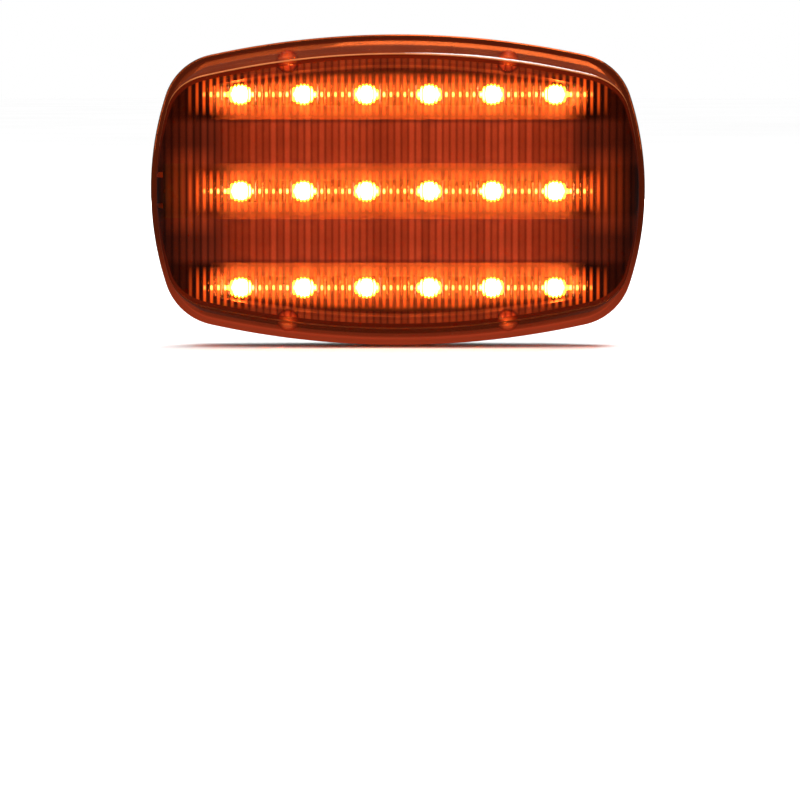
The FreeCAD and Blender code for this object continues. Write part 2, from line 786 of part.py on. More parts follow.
def led_row(label, height):
    """Six round LEDs on the board, each with its two legs."""
    body = new_body(label)
    first_x = dim("led_pitch_x") * -2.5
    radius = dim("led_radius")
    lamp = revolve(body, [(0, BOARD_FRONT), (radius + 0.4, BOARD_FRONT),
                          (radius + 0.4, BOARD_FRONT + 0.9), (radius, BOARD_FRONT + 0.9),
                          (radius, BOARD_FRONT + 3.1), (radius - 0.4, BOARD_FRONT + 3.8),
                          (radius - 1.3, BOARD_FRONT + 4.3), (0, BOARD_FRONT + 4.5)],
                   first_x, height)
    legs = new_sketch(body, dim("board_back") - 1.3, offset_x=first_x, offset_z=height)
    half = 0.25
    for side in SIDES:
        x = dim("led_leg_x") * side
        add_rectangle(legs, x - half, x + half, -half, half)
    legs_pad = pad(body, legs, BOARD_FRONT - dim("board_back") + 1.8)
    repeat(body, [lamp, legs_pad], "X_Axis", dim("led_pitch_x") * 5, 6)
    return body


def reflector():
    """A tray with three sloping troughs, a hole for each LED, and four pegs in the board."""
    body = new_body("reflector")
    back, front = dim("reflector_back"), dim("reflector_front")
    sketch = new_sketch(body, back)
    add_outline(sketch, dim("reflector_half_width"), dim("reflector_half_height"),
                dim("reflector_side_radius"), dim("reflector_long_radius"),
                dim("reflector_corner"))
    pad(body, sketch, front - back)

    row = dim("led_pitch_z")
    floor = back + 1
    half_band, half_floor = 9.15, 3.6
    mouth_half_width, floor_half_width = 66.5, 61
    wide = new_sketch(body, front)
    add_rectangle(wide, -mouth_half_width, mouth_half_width, -half_band, half_band)
    narrow = new_sketch(body, floor)
    add_rectangle(narrow, -floor_half_width, floor_half_width, -half_floor, half_floor)
    loft(body, wide, narrow, cut=True)
    outer_band, outer_mouth_half_width, outer_floor_half_width = 8.2, 61.5, 57
    mouth_height, floor_height = 41.4, 40.4
    for side in SIDES:
        wide = new_sketch(body, front)
        add_window(wide, outer_mouth_half_width, row - outer_band, mouth_height, side)
        narrow = new_sketch(body, floor)
        add_window(narrow, outer_floor_half_width, row - half_floor, floor_height, side)
        loft(body, wide, narrow, cut=True)

    for line in (-1, 0, 1):
        holes = new_sketch(body, back, offset_z=row * line)
        for place in range(6):
            add_circle(holes, dim("led_pitch_x") * (place - 2.5), 0, dim("led_radius") + 0.7)
        pocket(body, holes, front - back)

    for side_x in SIDES:
        for side_z in SIDES:
            x = dim("screw_span_x") / 2 * side_x
            z = dim("screw_span_z") / 2 * side_z
            notch = new_sketch(body, back)
            add_circle(notch, x, z, BOSS_RADIUS + 0.5)
            pocket(body, notch, front - back)
            peg = new_sketch(body, back)
            add_circle(peg, dim("peg_x") * side_x, POST_Z * side_z, 1.45)
            pad(body, peg, back - dim("board_back") + 0.6, to_back=True)
    # hollows in the back of the two ridges, for the board's screws and to save plastic
    relief_half_height, relief_deep = 6, 3.4
    for side in SIDES:
        relief = new_sketch(body, back, offset_z=row / 2 * side)
        for left, right in ((46, 62), (-62, -46), (-38, 38)):
            add_rectangle(relief, left, right, -relief_half_height, relief_half_height)
        pocket(body, relief, relief_deep)
    return body


def board_screws():
    body = new_body("board_screws")
    for side_x in SIDES:
        for side_z in SIDES:
            x, z = POST_X * side_x, POST_Z * side_z
            head = BOARD_FRONT
            revolve(body, [(0, head + 1.6), (1.6, head + 1.4), (2.4, head + 0.7), (2.4, head),
                           (1.1, head), (1.1, head - 8), (0, head - 8.8)], x, z)
            add_cross_recess(body, head + 1.6, 3, 0.7, 0.9, x, z, to_back=True)
    return body


def add_cross_recess(body, depth, length, width, deep, x=0, z=0, to_back=False):
    """A Phillips cross, cut into a screw head."""
    sketch = new_sketch(body, depth, turn=20, offset_x=x, offset_z=z)
    far, near = length / 2, width / 2
    add_polygon(sketch, [(far, -near), (far, near), (near, near), (near, far), (-near, far),
                         (-near, near), (-far, near), (-far, -near), (-near, -near),
                         (-near, -far), (near, -far), (near, -near)])
    return pocket(body, sketch, deep, to_back=to_back)


def board_block(label, x, z, half_width, half_height, thick):
    """A box-shaped component on the back of the circuit board."""
    body = new_body(label)
    sketch = new_sketch(body, dim("board_back"))
    add_rectangle(sketch, x - half_width, x + half_width, z - half_height, z + half_height)
    pad(body, sketch, thick, to_back=True)
    return body


def driver_chip():
    """An eight-leg chip on the back of the board."""
    x, z = 34, 24
    half_width, half_height, thick = 4.9, 1.95, 1.6
    leg_pitch, leg_half_width, leg_half_length, leg_thick = 2.54, 0.2, 0.6, 0.5
    body = board_block("driver_chip", x, z, half_width, half_height, thick)
    for place in range(4):
        for side in SIDES:
            leg = new_sketch(body, dim("board_back"))
            leg_x = x + leg_pitch * (place - 1.5)
            leg_z = z + half_height * side
            add_rectangle(leg, leg_x - leg_half_width, leg_x + leg_half_width,
                          leg_z - leg_half_length, leg_z + leg_half_length)
            pad(body, leg, leg_thick, to_back=True)
    return body


def board_resistors():
    """Six small resistors on the back of the board, one for each half row of LEDs."""
    body = new_body("board_resistors")
    half_width, half_height, thick = 1.6, 0.8, 0.6
    for line in (-1, 0, 1):
        for x in (-46, 46):
            sketch = new_sketch(body, dim("board_back"))
            z = 20 * line + 6
            add_rectangle(sketch, x - half_width, x + half_width, z - half_height, z + half_height)
            pad(body, sketch, thick, to_back=True)
    return body


def board_capacitor():
    body = new_body("board_capacitor")
    x, z, radius, tall = -34, 24, 3.15, 7
    sketch = new_sketch(body, dim("board_back"))
    add_circle(sketch, x, z, radius)
    pad(body, sketch, tall, to_back=True)
    edge_rounding = 0.5
    fillet(body, edge_rounding, lambda edge: at_depth(edge, dim("board_back") - tall))
    return body


# ---------------------------------------------------------------- push button


def switch_button():
    body = new_body("switch_button")
    radius = dim("button_radius")
    face = dim("collar_face") - 1.6
    inside = SHELL_INSIDE + 0.2
    revolve(body, [(0, face), (radius - 1.6, face + 0.1), (radius - 0.5, face + 0.4),
                   (radius, face + 1.1), (radius, inside), (radius + 1.4, inside),
                   (radius + 1.4, inside + 1.2), (1.9, inside + 1.2), (1.9, inside + 2.1),
                   (0, inside + 2.1)], -dim("button_x"))
    return body


def switch_plunger():
    body = new_body("switch_plunger")
    top = SHELL_INSIDE + 2.3
    revolve(body, [(0, top), (2, top), (2, top + 5.4), (0, top + 5.4)], -dim("button_x"))
    return body


def switch_body():
    body = new_body("switch_body")
    x = -dim("button_x")
    half = 4.25
    bore_radius, bore_deep = 2.07, 5
    sketch = new_sketch(body, SWITCH_FACE)
    add_rectangle(sketch, x - half, x + half, -half, half)
    pad(body, sketch, dim("switch_height"))
    edge_rounding = 0.5
    fillet(body, edge_rounding, along_depth)
    bore = new_sketch(body, SWITCH_FACE)
    add_circle(bore, x, 0, bore_radius)
    pocket(body, bore, bore_deep)
    return body


def add_coil(body, wire, coil_radius, length, turns, plane="XZ_Plane", reverse=False, **place):
    """A coil of round wire along the sketch plane's upright axis."""
    sketch = new_sketch(body, plane=plane, **place)
    add_circle(sketch, coil_radius, 0, wire)
    feature = body.newObject("PartDesign::AdditiveHelix", "Coil")
    feature.Profile = sketch
    feature.ReferenceAxis = (sketch, ["V_Axis"])
    feature.Mode = "height-turns-angle"
    feature.Height = value_of(length)
    set_size(feature, "Height", length)
    feature.Turns = turns
    feature.Reversed = reverse
    return finish_feature(body, feature)


def button_spring():
    """The coil that lifts the button off its switch."""
    body = new_body("button_spring")
    wire, coil_radius, turns = 0.25, 3, 3.5
    flange = SHELL_INSIDE + 1.4
    slack = 0.05
    add_coil(body, wire, coil_radius, SWITCH_FACE - flange - 2 * (wire + slack), turns,
             plane="XY_Plane", reverse=True, offset_x=-dim("button_x"),
             offset_y=-(flange + wire + slack))
    return body


# ---------------------------------------------------------------- magnets and fasteners


def magnet(label, side):
    """A disc magnet with a sunken hole for its screw."""
    body = new_body(label)
    radius, thick = dim("magnet_radius"), dim("magnet_thick")
    screw_hole, head_hole, head_deep, chamfer = 2.2, 4.55, 3, 0.4
    revolve(body, [(screw_hole, head_deep), (head_hole, head_deep), (head_hole, chamfer),
                   (head_hole + chamfer, 0), (radius - chamfer, 0), (radius, chamfer),
                   (radius, thick), (screw_hole, thick)], dim("magnet_pitch") / 2 * side)
    return body


def magnet_screws():
    body = new_body("magnet_screws")
    for side in SIDES:
        x = dim("magnet_pitch") / 2 * side
        revolve(body, [(0, 0.9), (2.6, 1.1), (4, 1.9), (4.2, 3), (2, 3), (2, 17), (0, 17)], x)
        add_cross_recess(body, 0.8, 4.6, 1, 1.5, x)
    return body


def magnet_nuts():
    """The two hexagonal nuts inside the housing that hold the magnets' screws."""
    body = new_body("magnet_nuts")
    nut_top = SEAT_FLOOR + 3.3
    half_across_flats, thick, thread_radius = 3.5, 3.2, 2
    to_corner = half_across_flats / math.cos(math.pi / 6)
    corners = [(round(to_corner * math.cos(math.pi / 3 * step), 3),
                round(to_corner * math.sin(math.pi / 3 * step), 3)) for step in range(6)]
    for side in SIDES:
        x = dim("magnet_pitch") / 2 * side
        sketch = new_sketch(body, nut_top, offset_x=x)
        add_polygon(sketch, corners)
        pad(body, sketch, thick)
        hole = new_sketch(body, nut_top, offset_x=x)
        add_circle(hole, 0, 0, thread_radius)
        pocket(body, hole, thick)
    return body


def case_screws():
    body = new_body("case_screws")
    seat = dim("screw_seat")
    for side_x in SIDES:
        for side_z in SIDES:
            x = dim("screw_span_x") / 2 * side_x
            z = dim("screw_span_z") / 2 * side_z
            revolve(body, [(0, seat - 1.7), (1.3, seat - 1.5), (2.1, seat - 0.8), (2.2, seat),
                           (1.5, seat), (1.5, seat + 15), (0, seat + 16.5)], x, z)
            add_cross_recess(body, seat - 1.8, 2.8, 0.7, 1, x, z)
    return body


# ---------------------------------------------------------------- battery door and hanger


def battery_door():
    """The door plate, with the hanger's trough, a nail slot, two arrows and three short bars."""
    body = new_body("battery_door")
    face = dim("hump_face")
    above = face - 0.1
    half_width, top, bottom = dim("door_half_width"), dim("door_top"), dim("door_bottom")
    plate = new_sketch(body, face)
    add_rectangle(plate, -half_width, half_width, -bottom, top)
    pad(body, plate, dim("door_thick"))
    low = value_of(bottom)
    high = value_of(top)
    low_rounding, high_rounding, face_rounding = 2.1, 1.1, 0.35
    fillet(body, low_rounding,
           lambda edge: along_depth(edge) and abs(edge.BoundBox.ZMin + low) < 0.01)
    fillet(body, high_rounding,
           lambda edge: along_depth(edge) and abs(edge.BoundBox.ZMin - high) < 0.01)
    fillet(body, face_rounding, lambda edge: at_depth(edge, face))

    trough_deep = HANGER_FLOOR - above
    trough_half_width, trough_bottom = dim("hanger_half_width") + 0.4, -20.2
    trough = new_sketch(body, above)
    add_rectangle(trough, -trough_half_width, trough_half_width, trough_bottom, top + 1)
    pocket(body, trough, trough_deep)
    notch_radius, notch_end_z = 2.6, -22.3
    notch = new_sketch(body, above)
    add_rectangle(notch, -notch_radius, notch_radius, notch_end_z - 0.1, trough_bottom + 0.2)
    pocket(body, notch, trough_deep)
    notch_end = new_sketch(body, above)
    add_circle(notch_end, 0, notch_end_z, notch_radius)
    pocket(body, notch_end, trough_deep)

    nail_radius, nail_deep = 10.2, 1.7
    nail_slot = new_sketch(body, above)
    add_circle(nail_slot, 0, -bottom - 8.2, nail_radius)
    pocket(body, nail_slot, nail_deep)
    mark_deep = 0.5
    arrow_x, shaft, head = 11.6, 0.3, 1
    shaft_top, head_top, arrow_tip = -22.7, -25.2, -29.6
    for side in SIDES:
        arrow = new_sketch(body, above, offset_x=arrow_x * side)
        add_polygon(arrow, [(-shaft, shaft_top), (-shaft, head_top), (-head, head_top),
                            (0, arrow_tip), (head, head_top), (shaft, head_top),
                            (shaft, shaft_top)])
        pocket(body, arrow, mark_deep)
    bar_pitch, bar_half_width, bar_bottom, bar_top = 2.4, 0.5, -28.5, -26.3
    for place in (-1, 0, 1):
        bar = new_sketch(body, above, offset_x=bar_pitch * place)
        add_rectangle(bar, -bar_half_width, bar_half_width, bar_bottom, bar_top)
        pocket(body, bar, mark_deep)

    hole = new_sketch(body, face)
    add_circle(hole, 0, dim("lock_z"), dim("lock_shank_radius") + 0.08)
    pocket(body, hole, dim("door_thick"))
    start = dim("pin_length") / -2
    pin_hole = new_sketch_across(body, start, PIN_DEPTH, dim("pin_z"), dim("pin_radius"))
    pocket(body, pin_hole, dim("pin_length"))
    return body


def new_sketch_across(body, x, depth, z, radius):
    """A circle on a plane across X, for a pin or a hole along X."""
    sketch = body.newObject("Sketcher::SketchObject", "Sketch")
    base = next(item for item in body.Origin.OriginFeatures if item.Role == "YZ_Plane")
    sketch.AttachmentSupport = [(base, "")]
    sketch.MapMode = "FlatFace"
    sketch.AttachmentOffset = Placement(Vector(0, 0, value_of(x)), Rotation())
    set_size(sketch, "AttachmentOffset.Base.z", x)
    add_circle(sketch, -depth, z, radius)
    return sketch


def hanger_pin():
    body = new_body("hanger_pin")
    start = dim("pin_length") / -2
    sketch = new_sketch_across(body, start, PIN_DEPTH, dim("pin_z"), dim("pin_radius"))
    pad(body, sketch, dim("pin_length"))
    return body


def hanger():
    """The strip that folds out on the pin, with a round eye and a thumb scoop."""
    body = new_body("hanger")
    face, thick = dim("hump_face"), dim("hanger_thick")
    half_width = dim("hanger_half_width")
    bottom = -dim("hanger_bottom")
    plate = new_sketch(body, face)
    add_rectangle(plate, -half_width, half_width, bottom, dim("pin_z"))
    pad(body, plate, thick)
    barrel = new_sketch_across(body, -half_width, PIN_DEPTH, dim("pin_z"), thick / 2)
    pad(body, barrel, half_width * 2)
    eye = new_sketch(body, face)
    add_circle(eye, 0, dim("lock_z"), dim("eye_radius"))
    pocket(body, eye, thick)
    pin_hole = new_sketch_across(body, -half_width, PIN_DEPTH, dim("pin_z"), dim("pin_radius") + 0.05)
    pocket(body, pin_hole, half_width * 2)
    clearance = new_sketch(body, face - 0.1)
    add_rectangle(clearance, -2.2, 2.2, dim("pin_z") - 0.1, dim("pin_z") + 2)
    pocket(body, clearance, thick + 0.2)
    # the thumb scoop at the free end slopes to the edge
    scoop_edge = new_sketch(body, face - 0.01)
    add_circle(scoop_edge, 0, bottom, 3.4)
    scoop_floor = new_sketch(body, face + 1.5)
    add_circle(scoop_floor, 0, bottom - 0.6, 2.2)
    loft(body, scoop_edge, scoop_floor, cut=True)
    return body


def door_screw():
    """The coin screw that locks the door. Its head sits inside the hanger's eye."""
    body = new_body("door_screw")
    head = dim("hump_face") + 0.15
    under = HANGER_FLOOR - 0.1
    radius, shank = dim("lock_head_radius"), dim("lock_shank_radius")
    z = dim("lock_z")
    revolve(body, [(0, head), (radius - 0.5, head), (radius, head + 0.4), (radius, under),
                   (shank, under), (shank, 15.2), (shank - 0.6, 15.8), (0, 15.8)], 0, z)
    slot = new_sketch(body, head - 0.1, turn=-28, offset_z=z)
    add_rectangle(slot, -5.1, 5.1, -0.6, 0.6)
    pocket(body, slot, 1.3)
    return body


def screw_retainer():
    """The ring under the door that keeps the coin screw in it."""
    body = new_body("screw_retainer")
    near, far = DOOR_INSIDE + 0.1, DOOR_INSIDE + 0.8
    shank = dim("lock_shank_radius")
    revolve(body, [(shank, near), (3.4, near), (3.4, far), (shank, far)], 0, dim("lock_z"))
    return body


def door_insert():
    """The brass insert in the housing's post that the coin screw locks into."""
    body = new_body("door_insert")
    bore = dim("lock_shank_radius") + 0.08
    revolve(body, [(bore, INSERT_TOP), (INSERT_RADIUS, INSERT_TOP),
                   (INSERT_RADIUS, INSERT_END), (bore, INSERT_END)], 0, dim("lock_z"))
    return body


# ---------------------------------------------------------------- batteries and wiring

CELL_PLACES = [(side, layer) for layer in (0, 1) for side in SIDES]


def cell_depth(layer):
    return dim("cell_first_depth") + dim("cell_layer") * layer


def battery_cell(number, side, layer):
    """One AAA cell, standing along Z, with its button end up on two of them."""
    body = new_body(f"battery_cell_{number}")
    up = side if layer == 0 else -side
    base = new_sketch(body, cell_depth(layer), offset_x=dim("cell_x") * side)
    radius, length = dim("cell_radius"), dim("cell_length")
    flat_end = -dim("chamber_bottom") + 5.2 if up > 0 else dim("chamber_top") - 5.2
    button_root = flat_end + length * up
    button_end = button_root + 1.1 * up
    add_polygon(base, [(0, flat_end), (radius - 0.4, flat_end), (radius, flat_end + 0.4 * up),
                       (radius, button_root - 0.6 * up), (radius - 0.6, button_root),
                       (1.9, button_root), (1.9, button_end), (0, button_end)])
    feature = body.newObject("PartDesign::Revolution", "Turned")
    feature.Profile = base
    feature.ReferenceAxis = (base, ["V_Axis"])
    feature.Angle = 360
    finish_feature(body, feature)
    return body


def contact_plates():
    """Thin plates across both ends of the compartment, with two tabs for the wires."""
    body = new_body("contact_plates")
    thick = 0.4
    wide = 4.6
    for layer in (0, 1):
        depth = cell_depth(layer)
        for side in SIDES:
            x = dim("cell_x") * side
            for end in (-dim("chamber_bottom"), dim("chamber_top") - thick):
                plate = new_sketch(body, depth - wide)
                add_rectangle(plate, x - wide, x + wide, end, end + thick)
                pad(body, plate, wide * 2)
    x, low, high = dim("cell_x"), -dim("chamber_bottom"), dim("chamber_top")
    overlap = 0.1
    link_half_width, tab_half_width, tab_length, bridge_deep = 3, 1.5, 3.6, 4
    for side in SIDES:
        link = new_sketch(body, cell_depth(0) + wide - overlap)
        add_rectangle(link, x * side - link_half_width, x * side + link_half_width,
                      low, low + thick)
        pad(body, link, dim("cell_layer") - (wide - overlap) * 2)
    bridge = new_sketch(body, cell_depth(0) - wide)
    inner_end = x - wide + overlap
    add_rectangle(bridge, -inner_end, inner_end, high - thick, high)
    pad(body, bridge, bridge_deep)
    for side in SIDES:
        tab = new_sketch(body, cell_depth(0) + 2.2)
        add_rectangle(tab, x * side - tab_half_width, x * side + tab_half_width,
                      high - overlap, high + tab_length)
        pad(body, tab, thick)
    return body


def contact_springs():
    """The coil contacts that press on the flat end of each cell."""
    body = new_body("contact_springs")
    wire = 0.3
    clear = 0.4 + wire
    for side, layer in CELL_PLACES:
        up = side if layer == 0 else -side
        height = -dim("chamber_bottom") + clear if up > 0 else dim("chamber_top") - clear
        add_coil(body, wire, 2.8, 4.15, 3, reverse=up < 0, depth=cell_depth(layer),
                 offset_x=dim("cell_x") * side, offset_z=height)
    return body


def wire_lead(label, side):
    """A wire from a contact tab round the compartment's top to the circuit board."""
    x = value_of(dim("cell_x")) * side
    top = value_of(dim("chamber_top"))
    start = value_of(cell_depth(0)) + 3.4
    end = value_of(dim("board_back")) - 0.4
    points = [Vector(x, -start, top + 2.9), Vector(x + side, -start - 3, top + 4.5),
              Vector(x + 4 * side, -start - 9, top + 5.5), Vector(x + 5 * side, -end, top + 5.2)]
    curve = Part.BSplineCurve()
    curve.interpolate(points)
    path = Part.Wire(curve.toShape())
    start_line = curve.tangent(curve.FirstParameter)[0]
    section = Part.Wire(Part.makeCircle(0.6, points[0], start_line))
    feature = doc.addObject("Part::Feature", label)
    feature.Label = label
    feature.Shape = path.makePipeShell([section], True, True)
    return feature


# ---------------------------------------------------------------- build and export

parts = [
    rear_housing(),
    lens(),
    lens_gasket(),
    case_screws(),
    magnet("magnet_left", -1),
    magnet("magnet_right", 1),
    magnet_screws(),
    magnet_nuts(),
    circuit_board(),
    led_row("led_row_top", dim("led_pitch_z")),
    led_row("led_row_middle", 0),
    led_row("led_row_bottom", -dim("led_pitch_z")),
    reflector(),
    board_screws(),
    driver_chip(),
    board_resistors(),
    board_capacitor(),
    switch_button(),
    switch_plunger(),
    button_spring(),
    switch_body(),
    battery_door(),
    hanger(),
    hanger_pin(),
    door_screw(),
    screw_retainer(),
    door_insert(),
    contact_plates(),
    contact_springs(),
    wire_lead("wire_red", 1),
    wire_lead("wire_black", -1),
]
for number, (side, layer) in enumerate(CELL_PLACES, start=1):
    parts.append(battery_cell(number, side, layer))

doc.recompute()
for item in doc.Objects:
    if "Invalid" in item.State or "Error" in item.State:
        raise RuntimeError(f"{item.Label} did not recompute: {item.State}")
os.makedirs("parts", exist_ok=True)
for part in parts:
    if part.Shape.isNull() or not part.Shape.isValid():
        raise RuntimeError(f"{part.Label} has no valid shape")
    part.Shape.exportStep(f"parts/{part.Label}.step")
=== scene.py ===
import math

import bmesh
import bpy
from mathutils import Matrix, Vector


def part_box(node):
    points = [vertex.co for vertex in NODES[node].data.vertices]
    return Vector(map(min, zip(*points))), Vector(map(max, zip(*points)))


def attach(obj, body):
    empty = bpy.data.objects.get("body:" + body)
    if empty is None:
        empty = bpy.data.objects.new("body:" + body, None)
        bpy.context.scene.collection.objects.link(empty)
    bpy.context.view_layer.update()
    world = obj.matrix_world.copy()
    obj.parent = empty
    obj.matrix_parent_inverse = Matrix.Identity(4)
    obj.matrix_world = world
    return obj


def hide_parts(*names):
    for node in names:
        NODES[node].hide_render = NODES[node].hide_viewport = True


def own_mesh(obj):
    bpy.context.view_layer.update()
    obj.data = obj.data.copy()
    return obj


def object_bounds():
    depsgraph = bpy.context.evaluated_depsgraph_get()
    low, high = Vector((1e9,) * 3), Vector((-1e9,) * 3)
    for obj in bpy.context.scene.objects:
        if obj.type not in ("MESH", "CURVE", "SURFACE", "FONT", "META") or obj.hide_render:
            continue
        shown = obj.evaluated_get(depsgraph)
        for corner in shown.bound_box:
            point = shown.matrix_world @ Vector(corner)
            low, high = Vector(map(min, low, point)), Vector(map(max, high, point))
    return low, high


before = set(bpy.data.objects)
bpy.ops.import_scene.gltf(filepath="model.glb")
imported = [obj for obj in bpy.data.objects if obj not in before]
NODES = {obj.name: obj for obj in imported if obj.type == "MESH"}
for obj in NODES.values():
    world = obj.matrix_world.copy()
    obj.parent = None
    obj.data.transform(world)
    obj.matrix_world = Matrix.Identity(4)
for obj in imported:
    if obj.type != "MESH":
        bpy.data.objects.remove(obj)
CAD_LOW, CAD_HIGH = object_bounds()
MM = 0.001

LED_STRENGTH = 150
# how bright the light painted on the lens's inner face is
PAINTED_LIGHT_STRENGTH = 30
AMBER = (0.80, 0.21, 0.05)
# near-black painted shade for the recesses of the door and the coin screw
PAINTED_RECESS_SHADE = (0.004, 0.004, 0.004)
PLASTIC_IOR = 1.49

# the sizes down to BOSS_HOLE_TIP are in millimetres
HALF_WIDTH = CAD_HIGH.x / MM
HALF_HEIGHT = CAD_HIGH.z / MM

# the lens's bowl and flange, with depths measured from the magnets' plane
LENS_BACK = 23.1
FLANGE_FRONT = 25.5
LENS_FRONT = -CAD_LOW.y / MM
LENS_WALL = 1.7
LENS_FACE = 2.3
END_BEND = 14
EDGE_ROUNDING = 0.4
FULL_ROUNDING_HEIGHT = 20
LONG_SIDE_RADIUS = 283

# the lens's vertical flutes
FLUTE_PITCH = 2.27
FLUTE_COUNT = 61
FLUTE_RADIUS = 2.5
FLUTED_HALF_WIDTH = FLUTE_PITCH * FLUTE_COUNT / 2

# the LEDs' places
LED_PITCH_X = 20.7
LED_PITCH_Z = (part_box("led_row_top")[0].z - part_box("led_row_middle")[0].z) / MM
LAST_LED_X = LED_PITCH_X * 2.5

# the four screw bosses, at the case screws' places
CASE_SCREW_HEAD = 2.2
BOSS_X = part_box("case_screws")[1].x / MM - CASE_SCREW_HEAD
BOSS_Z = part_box("case_screws")[1].z / MM - CASE_SCREW_HEAD
BOSS_RADIUS = 3.6
BOSS_BACK = 23.3
BOSS_FRONT = 37.4
BOSS_HOLE_RADIUS = 1.6
BOSS_HOLE_END = 35
BOSS_HOLE_TIP = 35.6

# how finely the lens is divided
STEPS_PER_FLUTE = 8
END_COLUMNS = 26
WALL_LEVELS = 5
EDGE_TURNS = (30, 60)
FRONT_SHARES = (1, 0.96, 0.88, 0.75, 0.5, 0.25, 0, -0.25, -0.5, -0.75, -0.88, -0.96, -1)

# faces that meet at more than this many degrees keep a sharp edge
SHARP_ANGLE = 35


# ---------------------------------------------------------------- node helpers


class Paint:
    """A material with a Principled shader, and short calls that add nodes to it."""

    def __init__(self, name, color, roughness, **sockets):
        self.material = bpy.data.materials.new(name)
        self.material.use_nodes = True
        self.nodes = self.material.node_tree.nodes
        self.links = self.material.node_tree.links
        self.shader = self.nodes["Principled BSDF"]
        self.output = self.nodes["Material Output"]
        self.shader.inputs["Base Color"].default_value = (*color, 1)
        self.shader.inputs["Roughness"].default_value = roughness
        for socket, value in sockets.items():
            self.shader.inputs[socket.replace("_", " ")].default_value = value
        self.place = self.nodes.new("ShaderNodeTexCoord").outputs["Object"]

    def link(self, source, target):
        self.links.new(source, target)

    def noise(self, size, detail=3):
        """Smooth noise whose lumps are about this size, in metres."""
        node = self.nodes.new("ShaderNodeTexNoise")
        node.inputs["Scale"].default_value = 1 / size
        node.inputs["Detail"].default_value = detail
        self.link(self.place, node.inputs["Vector"])
        return node.outputs["Fac"]

    def cells(self, size):
        """A random grey for each cell of about this size, in metres."""
        node = self.nodes.new("ShaderNodeTexVoronoi")
        node.inputs["Scale"].default_value = 1 / size
        self.link(self.place, node.inputs["Vector"])
        grey = self.nodes.new("ShaderNodeSeparateColor")
        self.link(node.outputs["Color"], grey.inputs["Color"])
        return grey.outputs[0]

    def axis(self, name):
        """One of the object's own coordinates, in metres."""
        split = self.nodes.new("ShaderNodeSeparateXYZ")
        self.link(self.place, split.inputs["Vector"])
        return split.outputs[name]

    def math(self, operation, first, second=0.0):
        node = self.nodes.new("ShaderNodeMath")
        node.operation = operation
        for socket, value in zip(node.inputs, (first, second)):
            if isinstance(value, (int, float)):
                socket.default_value = value
            else:
                self.link(value, socket)
        return node.outputs[0]

    def from_nearest(self, value):
        """How far a value is from the nearest whole number, from 0 to 0.5."""
        part = self.math("FRACT", self.math("ADD", value, 0.5))
        return self.math("ABSOLUTE", self.math("SUBTRACT", part, 0.5))

    def hump(self, distance, reach):
        """1 at no distance, falling to 0 at this reach."""
        share = self.math("DIVIDE", distance, reach)
        return self.math("MAXIMUM", self.math("SUBTRACT", 1, self.math("MULTIPLY", share, share)), 0)

    def product(self, first, *others):
        for other in others:
            first = self.math("MULTIPLY", first, other)
        return first

    def reach(self, *sides):
        """The length of a diagonal with these sides."""
        total = self.product(sides[0], sides[0])
        for side in sides[1:]:
            total = self.math("ADD", total, self.product(side, side))
        return self.math("SQRT", total)

    def off_row(self):
        """How far a point is from the middle of the nearest LED row, in millimetres."""
        rows = self.math("DIVIDE", self.axis("Z"), LED_PITCH_Z * MM)
        return self.math("MULTIPLY", self.from_nearest(rows), LED_PITCH_Z)

    def off_led(self, x):
        """Millimetres along a row from x to the nearest LED, and from the last LED to x."""
        places = self.math("ADD", self.math("DIVIDE", x, LED_PITCH_X), 0.5)
        between = self.math("MULTIPLY", self.from_nearest(places), LED_PITCH_X)
        past_last = self.math("SUBTRACT", self.math("ABSOLUTE", x), LAST_LED_X)
        inside = self.math("LESS_THAN", past_last, 0)
        return self.math("MAXIMUM", self.product(between, inside), past_last), past_last

    def off_edge(self):
        """How high a point is, in millimetres, with the long sides' curve straightened out."""
        x, z = (self.math("DIVIDE", self.axis(name), MM) for name in ("X", "Z"))
        drop = self.math("DIVIDE", self.product(x, x), 2 * LONG_SIDE_RADIUS)
        return self.math("ADD", self.math("ABSOLUTE", z), drop)

    def off_boss(self):
        """How far a point is from the axis of the nearest screw boss, in millimetres."""
        across = self.math("SUBTRACT", self.math("ABSOLUTE", self.axis("X")), BOSS_X * MM)
        up = self.math("SUBTRACT", self.math("ABSOLUTE", self.axis("Z")), BOSS_Z * MM)
        return self.math("DIVIDE", self.reach(across, up), MM)

    def glow(self, color, strength):
        self.link(color, self.shader.inputs["Emission Color"])
        self.shader.inputs["Emission Strength"].default_value = strength

    def ramp(self, value, *stops):
        """Colours along a value. Each stop is (position, colour)."""
        node = self.nodes.new("ShaderNodeValToRGB")
        elements = node.color_ramp.elements
        while len(elements) < len(stops):
            elements.new(0.5)
        for element, (position, color) in zip(elements, stops):
            element.position = position
            element.color = (*color, 1)
        self.link(value, node.inputs["Fac"])
        return node.outputs["Color"]

    def grey_ramp(self, value, *stops):
        """Greys along a value. Each stop is (position, grey)."""
        return self.ramp(value, *[(position, (grey,) * 3) for position, grey in stops])

    def fade(self, distance, reach, *stops):
        """Greys along a distance. Each stop is (share of the reach, grey)."""
        return self.grey_ramp(self.math("DIVIDE", distance, reach), *stops)

    def mix(self, share, first, second):
        node = self.nodes.new("ShaderNodeMix")
        node.data_type = "RGBA"
        self.link(share, node.inputs["Factor"])
        for socket, value in ((node.inputs["A"], first), (node.inputs["B"], second)):
            if isinstance(value, tuple):
                socket.default_value = (*value, 1)
            else:
                self.link(value, socket)
        return node.outputs["Result"]

    def color(self, source):
        self.link(source, self.shader.inputs["Base Color"])

    def roughness(self, value, low, high):
        self.link(self.grey_ramp(value, (0.3, low), (0.7, high)), self.shader.inputs["Roughness"])

    def shine(self, level):
        """How strongly the surface mirrors its surroundings; 0.5 is usual."""
        self.shader.inputs["Specular IOR Level"].default_value = level

